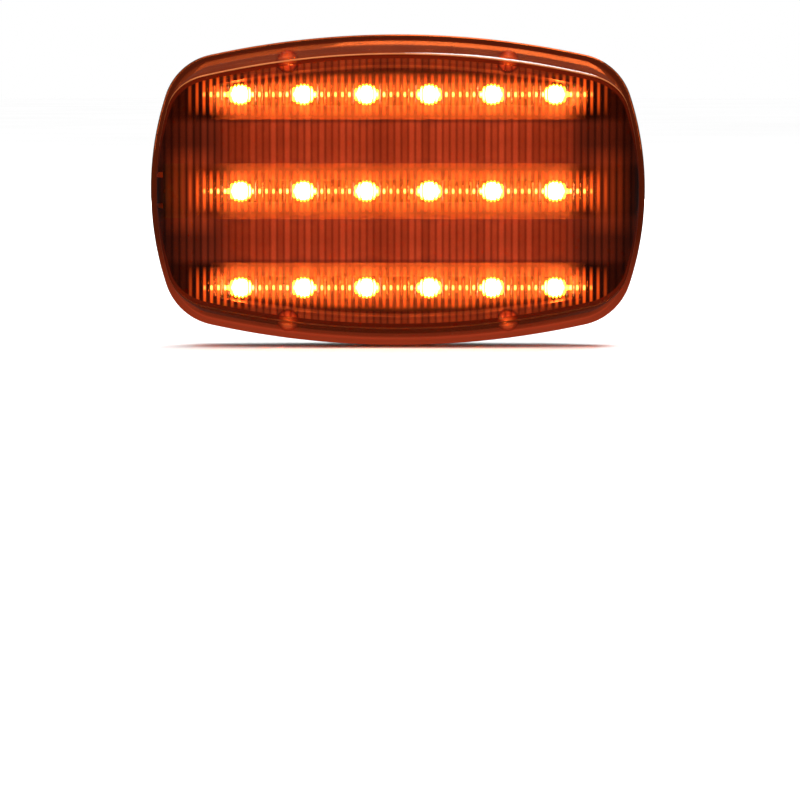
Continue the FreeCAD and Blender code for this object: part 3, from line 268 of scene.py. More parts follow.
    def bump(self, height, depth):
        """Relief of this depth, in metres."""
        node = self.nodes.new("ShaderNodeBump")
        node.inputs["Distance"].default_value = depth
        self.link(height, node.inputs["Height"])
        self.link(node.outputs["Normal"], self.shader.inputs["Normal"])

    def give_way(self, share, other):
        """Shows another shader instead, by this share."""
        mixed = self.nodes.new("ShaderNodeMixShader")
        self.link(share, mixed.inputs["Fac"])
        self.link(self.shader.outputs["BSDF"], mixed.inputs[1])
        self.link(other.outputs["BSDF"], mixed.inputs[2])
        self.link(mixed.outputs["Shader"], self.output.inputs["Surface"])


# ---------------------------------------------------------------- materials


def moulded_plastic(name, color, roughness, grain, depth, spread=0.25, painted_shade_below=None):
    """Plastic from a textured mould. Where Y is less than the given recess depth, in the part's recesses,
    it gets a near-black painted shade.
    """
    paint = Paint(name, color, roughness)
    light = tuple(min(1, c * (1 + spread)) for c in color)
    dark = tuple(c * (1 - spread) for c in color)
    shade = paint.ramp(paint.noise(grain * 1.7, 5), (0.35, dark), (0.65, light))
    if painted_shade_below is not None:
        # recesses below the face get a near-black painted shade
        painted_recess_mask = paint.math("LESS_THAN", paint.axis("Y"), painted_shade_below)
        shade = paint.mix(painted_recess_mask, shade, PAINTED_RECESS_SHADE)
    paint.color(shade)
    paint.roughness(paint.noise(grain * 6), roughness - 0.06, roughness + 0.08)
    paint.bump(paint.noise(grain, 4), depth)
    return paint.material


def machined_metal(name, light, dark, roughness, mottle=0.0012, metallic=1.0):
    """Plated metal with a mottled finish."""
    paint = Paint(name, light, roughness, Metallic=metallic)
    paint.color(paint.mix(paint.grey_ramp(paint.noise(mottle, 5), (0.38, 0), (0.62, 1)), light, dark))
    paint.roughness(paint.noise(mottle * 0.5), roughness - 0.08, roughness + 0.1)
    paint.bump(paint.noise(mottle * 0.2), 0.00001)
    return paint.material


def speckled_zinc():
    """The magnets' plated steel: small grey crystals, brighter at the rim and around the hole."""
    paint = Paint("magnet_zinc", (0.5, 0.5, 0.5), 0.45, Metallic=0.6)
    low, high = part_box("magnet_right")
    middle = (low + high) / 2
    across = paint.math("SUBTRACT", paint.math("ABSOLUTE", paint.axis("X")), abs(middle.x))
    up = paint.math("SUBTRACT", paint.axis("Z"), middle.z)
    share = paint.math("DIVIDE", paint.reach(across, up), (high.x - low.x) / 2)
    rims = paint.grey_ramp(share, (0.3, 1.0), (0.33, 0.0), (0.95, 0.0), (0.97, 1.0))
    crystals = paint.cells(0.0004)
    patches = paint.noise(0.004, 5)
    pale = paint.grey_ramp(crystals, (0.0, 0.5), (1.0, 0.72))
    dull = paint.grey_ramp(crystals, (0.0, 0.42), (1.0, 0.6))
    paint.color(paint.mix(rims, paint.mix(patches, pale, dull), (0.9, 0.9, 0.9)))
    paint.roughness(paint.cells(0.0006), 0.42, 0.55)
    paint.bump(crystals, 0.000006)
    return paint.material


def amber_glass(name, roughness, clearness=1.0):
    """Clear amber plastic. Shadow and diffuse rays go straight through, and are only tinted."""
    paint = Paint(name, AMBER, roughness, Transmission_Weight=clearness, IOR=PLASTIC_IOR)
    rays = paint.nodes.new("ShaderNodeLightPath")
    straight = paint.nodes.new("ShaderNodeBsdfTransparent")
    straight.inputs["Color"].default_value = (*(part**0.5 for part in AMBER), 1)
    passing = paint.math("MAXIMUM", rays.outputs["Is Shadow Ray"], rays.outputs["Is Diffuse Ray"])
    paint.give_way(passing, straight)
    return paint


def wall_amber():
    """The bowl's wall and flange, slightly cloudy, so that they look browner than the face, with painted
    shade on the flange and in a ring round each boss, and a painted glow that is brightest on the lower
    flange.
    """
    paint = amber_glass("amber_wall_painted_light", 0.05, 0.92)
    paint.shine(0.05)
    cloud = paint.noise(0.012, 3)
    streaks = paint.ramp(cloud, (0.3, (0.52, 0.09, 0.015)), (0.7, (0.66, 0.14, 0.03)))
    depth = paint.math("DIVIDE", paint.axis("Y"), CAD_LOW.y)
    # painted shade: the flange darker, and a dark ring round each boss
    on_flange = paint.grey_ramp(depth, (0.63, 1.0), (0.67, 0.0))
    boss_ring_shade = paint.fade(paint.off_boss(), 5, (0.55, 0.0), (0.7, 0.7), (0.8, 0.0))
    dark = paint.math("MAXIMUM", paint.math("MULTIPLY", on_flange, 0.6), boss_ring_shade)
    paint.color(paint.mix(dark, streaks, (0.12, 0.015, 0.004)))
    # a painted glow: even over the wall, and on the flange brighter towards the bottom
    height = paint.math("DIVIDE", paint.axis("Z"), CAD_LOW.z)
    light = paint.ramp(height, (0.3, (0.1, 0.015, 0.004)), (0.85, (0.5, 0.07, 0.025)))
    paint.glow(paint.mix(on_flange, (0.12, 0.018, 0.006), light), 0.35)
    return paint.material


def edge_amber():
    """The lens's rounded edges: the upper ones painted gold as a painted highlight, the lower ones darker
    as painted shade.
    """
    paint = amber_glass("amber_edge_painted_highlight", 0.6, 0.25)
    paint.shine(0.03)
    # painted highlight: the upper edges gold, the lower ones a darker painted shade
    painted_gold_highlight = paint.ramp(paint.noise(0.01, 3), (0.3, (0.55, 0.14, 0.025)), (0.7, (0.65, 0.2, 0.05)))
    upper = paint.fade(paint.axis("Z"), CAD_HIGH.z, (0.35, 0.0), (0.75, 1.0))
    paint.color(paint.mix(upper, (0.3, 0.06, 0.015), painted_gold_highlight))
    return paint.material


def boss_amber():
    """The screw bosses: a painted glow in the middle, and a darker rim of painted shade."""
    paint = amber_glass("amber_boss_painted_glow", 0.1)
    share = paint.math("DIVIDE", paint.off_boss(), BOSS_RADIUS)
    # painted light and shade: bright in the middle, darker towards the rim
    paint.color(paint.ramp(share, (0.35, (0.95, 0.35, 0.1)), (0.75, (0.7, 0.14, 0.04)),
                           (0.95, (0.45, 0.07, 0.02))))
    solid = paint.grey_ramp(share, (0.3, 0.5), (0.78, 0.35), (0.9, 0.45))
    paint.link(solid, paint.shader.inputs["Alpha"])
    # a painted glow, brightest in the middle
    light = paint.ramp(share, (0.0, (1.0, 0.45, 0.15)), (0.35, (0.9, 0.2, 0.05)),
                       (0.75, (0.5, 0.06, 0.015)), (0.92, (0.06, 0.007, 0.002)))
    paint.glow(light, 0.6)
    return paint.material


def fluted_amber():
    """The lens's inner face: dark grooves and a dark ring round each boss, both painted shade, and painted
    light for the shapes its flutes make of the LEDs' light.
    """
    paint = amber_glass("amber_fluted_painted_light", 0.07)
    flute = paint.math("DIVIDE", paint.axis("X"), FLUTE_PITCH * MM)
    off_ridge = paint.from_nearest(flute)
    number = paint.math("ROUND", flute)
    chance = paint.nodes.new("ShaderNodeTexWhiteNoise")
    chance.noise_dimensions = "1D"
    paint.link(number, chance.inputs["W"])
    random = chance.outputs["Value"]

    # painted shade: a darker ring round each boss, and darker grooves between the flutes, over a random
    # tone for each flute
    rim = paint.fade(paint.off_boss(), 5, (0.6, 1.0), (0.68, 0.35), (0.76, 0.35), (0.84, 1.0))
    shade = paint.product(paint.grey_ramp(off_ridge, (0.22, 1.0), (0.5, 0.3)),
                          paint.math("ADD", 0.55, paint.math("MULTIPLY", random, 0.45)), rim)
    paint.color(paint.mix(shade, (0.3, 0.04, 0.01), AMBER))

    off_row = paint.off_row()
    away, _ = paint.off_led(paint.math("MULTIPLY", number, FLUTE_PITCH))
    across = paint.math("MULTIPLY", off_ridge, FLUTE_PITCH)

    # a small painted spark of light on each flute, where it crosses the row
    fading = paint.fade(away, 20, (0.1, 1.0), (0.32, 0.55), (0.52, 0.4), (0.62, 0.0))
    spark = paint.product(paint.hump(across, 0.5), paint.hump(off_row, 0.95), fading)

    # a tall faint painted flame of light on each flute past the last LED
    fading = paint.fade(away, 20, (0.1, 0.7), (0.45, 1.0), (0.65, 0.6), (0.9, 0.0))
    flame = paint.product(paint.hump(across, 0.6), paint.hump(off_row, 7.0), fading)

    # painted bright columns of light in front of an LED, two to each flute, shorter the further away they
    # are
    half = paint.math("MULTIPLY", flute, 2)
    beside, _ = paint.off_led(paint.math("MULTIPLY", paint.math("ROUND", half), FLUTE_PITCH / 2))
    off_middle = paint.math("MULTIPLY", paint.from_nearest(half), FLUTE_PITCH / 2)
    tip = paint.math("SQRT", paint.product(paint.hump(beside, 4.0), paint.hump(off_middle, 0.72)))
    over = paint.math("SUBTRACT", paint.math("MULTIPLY", tip, 3.6), off_row)
    column = paint.grey_ramp(over, (0.0, 0.0), (0.4, 1.0))
    white = paint.product(paint.grey_ramp(over, (0.6, 0.0), (1.1, 1.0)),
                          paint.fade(beside, 5, (0.2, 1.0), (0.44, 0.0)))

    # a painted brown haze of light at both ends, brightest level with the middle row
    along = paint.math("DIVIDE", paint.math("ABSOLUTE", paint.axis("X")), 80 * MM)
    end = paint.grey_ramp(along, (0.72, 0.0), (0.82, 1.0), (0.88, 0.7), (0.93, 0.35),
                          (0.965, 0.05), (0.985, 0.0))
    height = paint.math("ABSOLUTE", paint.math("DIVIDE", paint.axis("Z"), MM))
    level = paint.math("ADD", 0.08, paint.math("MULTIPLY", paint.hump(height, 15), 0.75))
    streak = paint.math("ADD", 0.45, paint.math("MULTIPLY", random, 0.55))
    haze = paint.product(end, level, streak, paint.grey_ramp(off_ridge, (0.15, 1.3), (0.5, 0.2)))

    # a painted brown band of light under the long edges, dark in the grooves
    under = paint.fade(paint.off_edge(), 50, (0.785, 0.0), (0.82, 1.0))
    band = paint.product(under, shade, paint.grey_ramp(along, (0.55, 1.0), (0.82, 0.0)))

    # a duller painted glow between the rows
    between_rows = paint.fade(off_row, 16, (0.45, 0.0), (0.6, 1.0), (1.0, 0.8))
    ridge = paint.product(between_rows, shade, paint.grey_ramp(along, (0.5, 1.0), (0.92, 0.1)),
                          paint.fade(height, 50, (0.74, 1.0), (0.78, 0.0)))

    def glow(value, *stops):
        return paint.ramp(value, (0.0, (0, 0, 0)), *stops)

    def add(first, second):
        node = paint.nodes.new("ShaderNodeMix")
        node.data_type = "RGBA"
        node.blend_type = "ADD"
        node.inputs["Factor"].default_value = 1
        paint.link(first, node.inputs["A"])
        paint.link(second, node.inputs["B"])
        return node.outputs["Result"]

    # all the painted light below is emission of the inner face itself
    painted_yellow_column = glow(column, (1.0, (0.4, 0.42, 0.03)))
    painted_white_column = glow(white, (1.0, (0.5, 0.5, 1.0)))
    painted_sparks = glow(spark, (0.35, (0.18, 0.12, 0.036)), (1.0, (0.3, 0.3, 0.23)))
    painted_flames = glow(flame, (1.0, (0.066, 0.012, 0.002)))
    painted_end_haze = glow(haze, (1.0, (0.014, 0.0027, 0.001)))
    painted_edge_band = glow(band, (1.0, (0.0125, 0.0025, 0.0011)))
    painted_row_glow = glow(ridge, (1.0, (0.014, 0.003, 0.0022)))
    painted_led_light = add(add(painted_yellow_column, painted_white_column), add(painted_sparks, painted_flames))
    total = add(painted_led_light, add(add(painted_end_haze, painted_edge_band), painted_row_glow))
    paint.glow(total, PAINTED_LIGHT_STRENGTH)
    return paint.material


def lit_led():
    """A lit LED: its rounded end glows almost white, and its flange more faintly."""
    paint = Paint("led_glow", (1.0, 0.6, 0.25), 0.3)
    low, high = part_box("led_row_middle")
    share = paint.math("DIVIDE", paint.math("SUBTRACT", high.y, paint.axis("Y")), high.y - low.y)
    glow = paint.ramp(share, (0.1, (0.25, 0.08, 0.03)), (0.4, (1.0, 0.42, 0.22)), (1.0, (1.0, 0.5, 0.3)))
    paint.glow(glow, LED_STRENGTH)
    return paint.material


def silver_tray():
    """The reflector's dull silver paint, with painted shade close to each LED, past the last LEDs and at
    the outer edge, and painted light and shade across each row.
    """
    paint = Paint("reflector_silver_painted_shade", (0.35, 0.34, 0.33), 0.42)
    paint.shine(0.05)
    off_row = paint.off_row()
    x = paint.math("DIVIDE", paint.axis("X"), MM)
    away, past_last = paint.off_led(x)
    # painted shade close to each LED, and painted light and shade across each row: brighter in its middle,
    # darker further out
    near = paint.reach(away, off_row)
    painted_shade_near_leds = paint.fade(near, 12, (0.35, 0.09), (0.6, 0.32), (0.95, 1.0))
    floor = paint.fade(off_row, 10, (0.35, 2.2), (0.4, 1.0), (0.6, 0.9), (0.88, 0.5), (0.95, 1.0))
    # painted shade past the last LEDs and along the outer edge
    past_end = paint.reach(paint.math("MAXIMUM", past_last, 0),
                           paint.math("MULTIPLY", paint.math("MINIMUM", off_row, 9), 0.5))
    painted_shade_past_ends = paint.fade(past_end, 20, (0.2, 1.0), (0.35, 0.4), (0.45, 0.12), (0.55, 0.01))
    outer = paint.fade(paint.off_edge(), 50, (0.76, 1.0), (0.8, 0.04))
    share = paint.product(painted_shade_near_leds, floor, painted_shade_past_ends, outer)
    speckle = paint.ramp(paint.noise(0.004, 5), (0.3, (0.4, 0.39, 0.38)), (0.7, (0.5, 0.49, 0.48)))
    paint.color(paint.mix(share, (0.006, 0.0055, 0.005), speckle))
    paint.roughness(paint.noise(0.002), 0.36, 0.5)
    paint.bump(paint.noise(0.0006), 0.00003)
    return paint.material


materials = {
    "housing": moulded_plastic("housing_black", (0.035, 0.035, 0.036), 0.5, 0.0005, 0.00005),
    # the door gets a near-black painted shade in its recesses
    "door": moulded_plastic("door_black", (0.024, 0.024, 0.025), 0.42, 0.0006, 0.00003,
                            painted_shade_below=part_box("battery_door")[1].y - 0.0001),
    "hanger": moulded_plastic("hanger_black", (0.028, 0.028, 0.029), 0.4, 0.0006, 0.00003),
    "magnet": speckled_zinc(),
    "yellow_zinc": machined_metal("yellow_zinc", (0.72, 0.5, 0.2), (0.45, 0.36, 0.2), 0.35, metallic=0.6),
    # the coin screw gets a near-black painted shade in its slot
    "coin_screw": moulded_plastic("coin_screw", (0.05, 0.05, 0.052), 0.36, 0.0005, 0.00002,
                                  painted_shade_below=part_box("door_screw")[1].y - 0.0003),
    "black_steel": machined_metal("black_steel", (0.05, 0.05, 0.052), (0.08, 0.08, 0.08), 0.4),
    "case_screw": machined_metal("case_screw", (0.42, 0.42, 0.43), (0.26, 0.26, 0.26), 0.45, metallic=0.5),
    "steel": machined_metal("bright_steel", (0.6, 0.6, 0.6), (0.45, 0.45, 0.46), 0.3),
    "nickel": machined_metal("nickel", (0.7, 0.66, 0.58), (0.55, 0.52, 0.47), 0.22),
    "brass": machined_metal("brass", (0.75, 0.56, 0.26), (0.6, 0.45, 0.22), 0.3),
    "button": moulded_plastic("button_yellow", (0.78, 0.62, 0.03), 0.28, 0.0015, 0.00001, 0.04),
    "led": lit_led(),
    "reflector": silver_tray(),
    "gasket": moulded_plastic("gasket_rubber", (0.02, 0.02, 0.02), 0.7, 0.0008, 0.00004),
    "board": moulded_plastic("board_green", (0.02, 0.1, 0.04), 0.4, 0.002, 0.00002),
    "white_part": moulded_plastic("switch_white", (0.75, 0.73, 0.68), 0.45, 0.001, 0.00002, 0.05),
    "chip": moulded_plastic("chip_black", (0.02, 0.02, 0.022), 0.45, 0.0004, 0.00002),
    "capacitor": moulded_plastic("capacitor_sleeve", (0.03, 0.05, 0.16), 0.35, 0.002, 0.00001, 0.1),
    "cell": moulded_plastic("cell_wrap", (0.08, 0.2, 0.1), 0.3, 0.004, 0.00001, 0.1),
    "red_lead": moulded_plastic("lead_red", (0.5, 0.02, 0.02), 0.4, 0.001, 0.00002, 0.1),
    "black_lead": moulded_plastic("lead_black", (0.02, 0.02, 0.02), 0.4, 0.001, 0.00002),
    "lens_face": amber_glass("amber_polished", 0.02).material,
    "lens_flutes": fluted_amber(),
    "lens_wall": wall_amber(),
    "lens_edge": edge_amber(),
    "lens_boss": boss_amber(),
}

NODE_FINISH = {
    "rear_housing": "housing",
    "battery_door": "door",
    "hanger": "hanger",
    "magnet_left": "magnet",
    "magnet_right": "magnet",
    "magnet_screws": "yellow_zinc",
    "magnet_nuts": "yellow_zinc",
    "case_screws": "case_screw",
    "door_screw": "coin_screw",
    "hanger_pin": "black_steel",
    "screw_retainer": "steel",
    "door_insert": "brass",
    "board_screws": "steel",
    "button_spring": "steel",
    "contact_plates": "nickel",
    "contact_springs": "nickel",
    "switch_button": "button",
    "switch_plunger": "white_part",
    "switch_body": "chip",
    "led_row_top": "led",
    "led_row_middle": "led",
    "led_row_bottom": "led",
    "reflector": "reflector",
    "lens_gasket": "gasket",
    "circuit_board": "board",
    "driver_chip": "chip",
    "board_resistors": "chip",
    "board_capacitor": "capacitor",
    "battery_cell_1": "cell",
    "battery_cell_2": "cell",
    "battery_cell_3": "cell",
    "battery_cell_4": "cell",
    "wire_red": "red_lead",
    "wire_black": "black_lead",
}


def finish_nodes():
    """Gives every piece of the CAD its finish."""
    for name, finish in NODE_FINISH.items():
        node = NODES[name]
        if not node.material_slots:
            node.data.materials.append(None)
        for slot in node.material_slots:
            slot.material = materials[finish]


# ---------------------------------------------------------------- lens


class Outline:
    """A rounded rectangle about the origin, of two side arcs, two long arcs and four corner arcs."""

    def __init__(self, half_width, half_height, side_radius, long_radius, corner):
        self.half_width = half_width
        self.half_height = half_height
        self.side_radius = side_radius
        self.long_radius = long_radius
        self.corner = corner
        side_x = half_width - side_radius
        long_z = half_height - long_radius
        apart = math.hypot(side_x, long_z)
        to_side = side_radius - corner
        to_long = long_radius - corner
        along = (to_side**2 - to_long**2 + apart**2) / (2 * apart)
        off = math.sqrt(to_side**2 - along**2)
        step = Vector((-side_x, long_z)) / apart
        across = Vector((-step.y, step.x))
        middle = Vector((side_x, 0)) + step * along
        self.center = max(middle + across * off, middle - across * off, key=lambda point: point.y)
        self.long_x = self.center.x / to_long * long_radius
        self.side_x = side_x + (self.center.x - side_x) / to_side * side_radius

    def height(self, x):
        """How far the outline reaches above the middle at x."""
        x = min(abs(x), self.half_width)
        if x <= self.long_x:
            return self.half_height - self.long_radius + math.sqrt(self.long_radius**2 - x**2)
        if x <= self.side_x:
            return self.center.y + math.sqrt(max(0, self.corner**2 - (x - self.center.x) ** 2))
        inward = x - (self.half_width - self.side_radius)
        return math.sqrt(max(0, self.side_radius**2 - inward**2))

    def measures(self):
        return (self.half_width, self.half_height, self.side_radius, self.long_radius, self.corner)

    def inset(self, distance):
        """The outline this much further in."""
        return Outline(*[measure - distance for measure in self.measures()])

    def toward(self, other, share):
        """The outline part of the way to another."""
        return Outline(*[a + (b - a) * share for a, b in zip(self.measures(), other.measures())])


FLANGE = Outline(HALF_WIDTH, HALF_HEIGHT, 101, 290, 20)
BOWL_BASE = Outline(HALF_WIDTH - 2, HALF_HEIGHT - 1.5, 99, 288.5, 18.5)
BOWL_FRONT = Outline(HALF_WIDTH - 2.4, HALF_HEIGHT - 6.3, 99, 283.7, 16)


class Skin:
    """One side of the lens's bowl: a tapered wall, and a front that bends back at both ends."""

    def __init__(self, inset, front):
        self.wide = BOWL_BASE.inset(inset)
        self.narrow = BOWL_FRONT.inset(inset)
        self.front = front
        self.bend = END_BEND - inset
        self.bend_start = self.wide.half_width - self.bend

    def outline(self, depth):
        return self.wide.toward(self.narrow, (depth - LENS_BACK) / (self.front - LENS_BACK))

    def front_depth(self, x):
        over = abs(x) - self.bend_start
        if over <= 0:
            return self.front
        return self.front - self.bend + math.sqrt(max(0, self.bend**2 - over**2))

    def reach(self):
        """Where the front meets the wall at mid-height."""
        x = self.narrow.half_width
        for _ in range(30):
            x = self.outline(self.front_depth(x)).half_width
        return x


def column_places(reach):
    """Positions along the length: even over the flutes, then ever closer towards each end."""
    count = FLUTE_COUNT * STEPS_PER_FLUTE // 2 + 1
    inner = [FLUTE_PITCH / STEPS_PER_FLUTE * i for i in range(count)]
    rest = reach - inner[-1]
    outer = [inner[-1] + rest * math.sin(math.pi / 2 * (i + 1) / END_COLUMNS)
             for i in range(END_COLUMNS)]
    half = inner + outer
    return [-x for x in reversed(half[1:])] + half


def flute_height(x):
    """How far a flute stands out of the lens's inner face at x."""
    if abs(x) >= FLUTED_HALF_WIDTH:
        return 0
    across = (x / FLUTE_PITCH - round(x / FLUTE_PITCH)) * FLUTE_PITCH
    groove = math.sqrt(FLUTE_RADIUS**2 - (FLUTE_PITCH / 2) ** 2)
    return math.sqrt(FLUTE_RADIUS**2 - across**2) - groove


LENS_FINISHES = ("lens_face", "lens_flutes", "lens_wall", "lens_edge")
FACE, FLUTES, WALL, EDGE = range(len(LENS_FINISHES))


def lens_mesh():
    """The amber bowl with its flange, without the bosses."""
    outside = Skin(0, LENS_FRONT)
    inside = Skin(LENS_WALL, LENS_FRONT - LENS_FACE)
    outer_reach = outside.reach()
    inner_reach = inside.reach()
    inner_x = column_places(inner_reach)
    outer_x = [x * outer_reach / inner_reach for x in inner_x]
    vertices = []
    faces = []
    face_material = []

    def add_row(points):
        first = len(vertices)
        vertices.extend(Vector((x, -depth, z)) * MM for x, depth, z in points)
        return list(range(first, len(vertices)))

    def join(low, high, material):
        for i in range(len(low) - 1):
            faces.append((low[i], low[i + 1], high[i + 1], high[i]))
            face_material.append(material)

    def side_rows(skin, rims, edge, side):
        """Rows of points up the wall on one side, and round its edge."""
        rows = []
        for level in range(WALL_LEVELS + 1):
            points = []
            for x, depth, height, soft in rims:
                at = LENS_BACK + (depth - soft - LENS_BACK) * level / WALL_LEVELS
                outline = skin.outline(at)
                wide = x / skin.outline(depth).half_width * outline.half_width
                points.append((wide, at, side * outline.height(wide)))
            rows.append(points)
        for turn in EDGE_TURNS if edge else ():
            back = 1 - math.sin(math.radians(turn))
            inward = 1 - math.cos(math.radians(turn))
            rows.append([(x, depth - soft * back, side * (height - soft * inward))
                         for x, depth, height, soft in rims])
        return rows

    def surface(skin, places, lift, edge):
        """The rows of one skin, from its base at +Z, over the front, to its base at -Z."""
        rims = []
        for x in places:
            depth = skin.front_depth(x)
            height = skin.outline(depth).height(x)
            rims.append((x, depth, height, edge * min(1, height / FULL_ROUNDING_HEIGHT)))
        front = []
        for share in FRONT_SHARES:
            front.append([(x, depth - lift(x), share * (height - soft))
                          for x, depth, height, soft in rims])
        upper = side_rows(skin, rims, edge, 1)
        lower = side_rows(skin, rims, edge, -1)
        return [add_row(points) for points in upper + front + lower[::-1]]

    outer_rows = surface(outside, outer_x, lambda x: 0, EDGE_ROUNDING)
    last = len(outer_rows) - 2
    for row, (low, high) in enumerate(zip(outer_rows, outer_rows[1:])):
        from_base = min(row, last - row)
        if from_base < WALL_LEVELS:
            finish = WALL
        elif from_base <= WALL_LEVELS + len(EDGE_TURNS):
            finish = EDGE
        else:
            finish = FACE
        join(high, low, finish)

    inner_rows = surface(inside, inner_x, flute_height, 0)
    last = len(inner_rows) - 2
    for row, (low, high) in enumerate(zip(inner_rows, inner_rows[1:])):
        join(low, high, WALL if min(row, last - row) <= WALL_LEVELS else FLUTES)

    def ring(outline, depth, side):
        points = []
        for x in outer_x:
            wide = x / outer_reach * outline.half_width
            points.append((wide, depth, side * outline.height(wide)))
        return add_row(points)

    # the flange: from the wall's foot outwards, round its edge, and back to the bowl's inside
    for side, inner in ((1, inner_rows[0]), (-1, inner_rows[-1])):
        rows = [ring(outside.outline(FLANGE_FRONT), FLANGE_FRONT, side)]
        for share, back in ((0.75, 0), (0.25, 0), (0.07, 0.15), (0, 0.5)):
            rows.append(ring(FLANGE.toward(BOWL_BASE, share), FLANGE_FRONT - back, side))
        rows += [ring(FLANGE, LENS_BACK, side), inner]
        for low, high in zip(rows, rows[1:]):
            join(*((low, high) if side > 0 else (high, low)), WALL)

    mesh = bpy.data.meshes.new("lens_bowl")
    mesh.from_pydata([tuple(v) for v in vertices], [], faces)
    mesh.polygons.foreach_set("material_index", face_material)
    return mesh


def build_lens():
    mesh = lens_mesh()
    lens = bpy.data.objects.new("fluted_lens", mesh)
    bpy.context.scene.collection.objects.link(lens)
    for finish in LENS_FINISHES:
        mesh.materials.append(materials[finish])
    tidy_mesh(mesh)
    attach(lens, "lamp")
    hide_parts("lens")


def lathe(profile, places, steps=36):
    """Closed round pieces about the depth axis, one at each (x, z). A profile has (radius, depth)."""
    vertices = []
    faces = []
    count = len(profile)
    for x, z in places:
        first = len(vertices)
        for step in range(steps):
            turn = 2 * math.pi * step / steps
            for radius, depth in profile:
                across = x + radius * math.cos(turn)
                up = z + radius * math.sin(turn)
                vertices.append((across * MM, -depth * MM, up * MM))
        for step in range(steps):
            here = first + step * count
            there = first + (step + 1) % steps * count
            for i in range(count):
                j = (i + 1) % count
                faces.append((here + i, here + j, there + j, there + i))
    mesh = bpy.data.meshes.new("lathe")
    mesh.from_pydata(vertices, [], faces)
    return mesh


def build_bosses():
    """The four round posts inside the lens that the case screws go into."""
    x, z, radius = BOSS_X, BOSS_Z, BOSS_RADIUS
    profile = [(0, BOSS_FRONT), (radius - 0.5, BOSS_FRONT), (radius - 0.12, BOSS_FRONT - 0.15),
               (radius, BOSS_FRONT - 0.5), (radius, BOSS_BACK), (BOSS_HOLE_RADIUS, BOSS_BACK),
               (BOSS_HOLE_RADIUS, BOSS_HOLE_END), (0, BOSS_HOLE_TIP)]
    mesh = lathe(profile, [(x, z), (-x, z), (x, -z), (-x, -z)])
    bosses = bpy.data.objects.new("lens_bosses", mesh)
    bpy.context.scene.collection.objects.link(bosses)
    mesh.materials.append(materials["lens_boss"])
    tidy_mesh(mesh)
    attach(bosses, "lamp")


def build_spring():
    """The button's spring, a copy of the CAD piece, on the lamp's body."""
    made = NODES["button_spring"]
    spring = bpy.data.objects.new("coil_spring", made.data.copy())
    spring.matrix_world = made.matrix_world
    bpy.context.scene.collection.objects.link(spring)
    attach(spring, "lamp")
    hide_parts("button_spring")
    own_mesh(spring)


def tidy_mesh(mesh):
    """Joins points that coincide, turns faces outwards and shades smooth between sharp edges."""
    work = bmesh.new()
    work.from_mesh(mesh)
    bmesh.ops.remove_doubles(work, verts=work.verts, dist=1e-7)
    bmesh.ops.dissolve_degenerate(work, edges=work.edges, dist=1e-7)
    bmesh.ops.recalc_face_normals(work, faces=work.faces)
    work.to_mesh(mesh)
    work.free()
    mesh.shade_smooth()
    mesh.set_sharp_from_angle(angle=math.radians(SHARP_ANGLE))


# ---------------------------------------------------------------- stage, in metres


def area_light(name, place, width, height, power, mirrored=True):
    """A rectangular light that faces the object."""
    data = bpy.data.lights.new(name, "AREA")
    data.shape = "RECTANGLE"
    data.size, data.size_y = width, height
    data.energy = power
    light = bpy.data.objects.new(name, data)
    light.location = place
    light.rotation_euler = (-Vector(place)).to_track_quat("-Z", "Y").to_euler()
    light.visible_camera = False
    light.visible_glossy = mirrored
    bpy.context.scene.collection.objects.link(light)


def build_floor():
    """A pale floor, which is much dimmer in what the object mirrors and gathers from it."""
    paint = Paint("floor_pale", (0.9, 0.9, 0.9), 1.0)
    paint.shine(0)
    paint.color(paint.ramp(paint.noise(0.4, 2), (0.3, (0.88, 0.88, 0.88)), (0.7, (0.91, 0.91, 0.91))))
    rays = paint.nodes.new("ShaderNodeLightPath")
    mirrored = rays.outputs["Is Glossy Ray"]
    dim = paint.nodes.new("ShaderNodeBsdfDiffuse")
    paint.link(paint.grey_ramp(mirrored, (0.0, 0.15), (1.0, 0.015)), dim.inputs["Color"])
    paint.give_way(paint.math("MAXIMUM", mirrored, rays.outputs["Is Diffuse Ray"]), dim)
    half = 14
    mesh = bpy.data.meshes.new("floor")
    level = CAD_LOW.z - 0.0002
    corners = [(-half, -half, level), (half, -half, level), (half, half, level), (-half, half, level)]
    mesh.from_pydata(corners, [], [(0, 1, 2, 3)])
    mesh.materials.append(paint.material)
    floor = bpy.data.objects.new("floor", mesh)
    bpy.context.scene.collection.objects.link(floor)


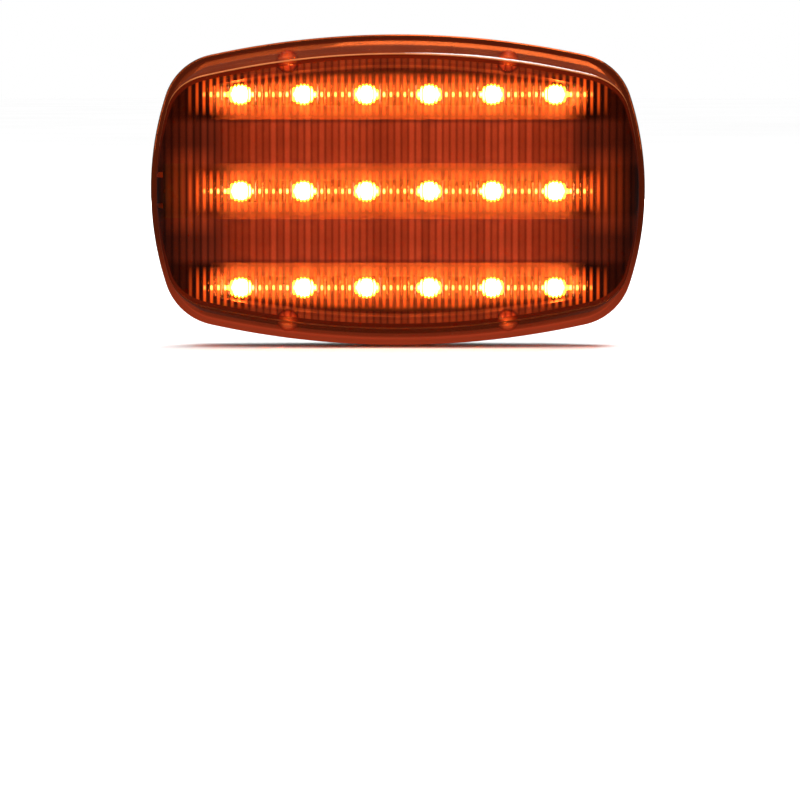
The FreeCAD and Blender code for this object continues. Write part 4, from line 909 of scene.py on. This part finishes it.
def build_world():
    """A plain pale surrounding, dim as a light source, so that the lens stays clear."""
    world = bpy.data.worlds.new("studio")
    bpy.context.scene.world = world
    world.use_nodes = True
    nodes, links = world.node_tree.nodes, world.node_tree.links
    lit = nodes["Background"]
    lit.inputs["Color"].default_value = (1, 1, 1, 1)
    lit.inputs["Strength"].default_value = 0.16
    seen = nodes.new("ShaderNodeBackground")
    seen.inputs["Color"].default_value = (1, 1, 1, 1)
    mirrored = nodes.new("ShaderNodeBackground")
    mirrored.inputs["Color"].default_value = (1, 1, 1, 1)
    mirrored.inputs["Strength"].default_value = 0.03
    path = nodes.new("ShaderNodeLightPath")
    for ray, background in (("Is Glossy Ray", mirrored), ("Is Camera Ray", seen)):
        mixed = nodes.new("ShaderNodeMixShader")
        links.new(path.outputs[ray], mixed.inputs["Fac"])
        links.new(lit.outputs[0], mixed.inputs[1])
        links.new(background.outputs["Background"], mixed.inputs[2])
        lit = mixed
    links.new(lit.outputs["Shader"], nodes["World Output"].inputs["Surface"])


def overhead_light():
    """One very soft light from above, the same everywhere on the floor."""
    data = bpy.data.lights.new("overhead", "SUN")
    data.energy = 3.0
    data.angle = math.radians(70)
    light = bpy.data.objects.new("overhead", data)
    light.rotation_euler = (math.radians(-8), 0, 0)
    light.visible_glossy = False
    bpy.context.scene.collection.objects.link(light)


def build_camera():
    """Nearly straight on to the lens, with the object in the upper part of the picture."""
    data = bpy.data.cameras.new("camera")
    camera = bpy.data.objects.new("camera", data)
    bpy.context.scene.collection.objects.link(camera)
    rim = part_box("lens")[1].y
    distance = 1.5
    sideways = 0.0007
    elevation = math.radians(1.5)
    drop = 70 * MM
    frame_width = 800 / 3 * MM
    sensor_width = 36
    camera.location = (sideways, rim - distance, distance * math.tan(elevation))
    view = Vector((sideways, rim, -drop)) - camera.location
    data.sensor_width = sensor_width
    data.lens = sensor_width * view.length / frame_width
    data.clip_start, data.clip_end = 0.05, 60
    camera.rotation_euler = view.to_track_quat("-Z", "Y").to_euler()
    bpy.context.scene.camera = camera


def build_stage():
    build_floor()
    build_world()
    build_camera()
    overhead_light()
    area_light("front_key", (-0.3, -1.1, 1.3), 1.0, 0.8, 16, mirrored=False)
    area_light("rear_key", (0.5, 0.9, 1.7), 1.2, 1.0, 34)
    area_light("rear_fill", (0, 1.7, 0.15), 1.2, 0.3, 10, mirrored=False)


finish_nodes()
build_lens()
build_bosses()
build_spring()
build_stage()

scene = bpy.context.scene
scene.view_settings.view_transform = "Standard"
scene.cycles.max_bounces = 16
scene.cycles.transmission_bounces = 12
scene.cycles.transparent_max_bounces = 16
scene.cycles.sample_clamp_indirect = 100
scene.cycles.caustics_reflective = False
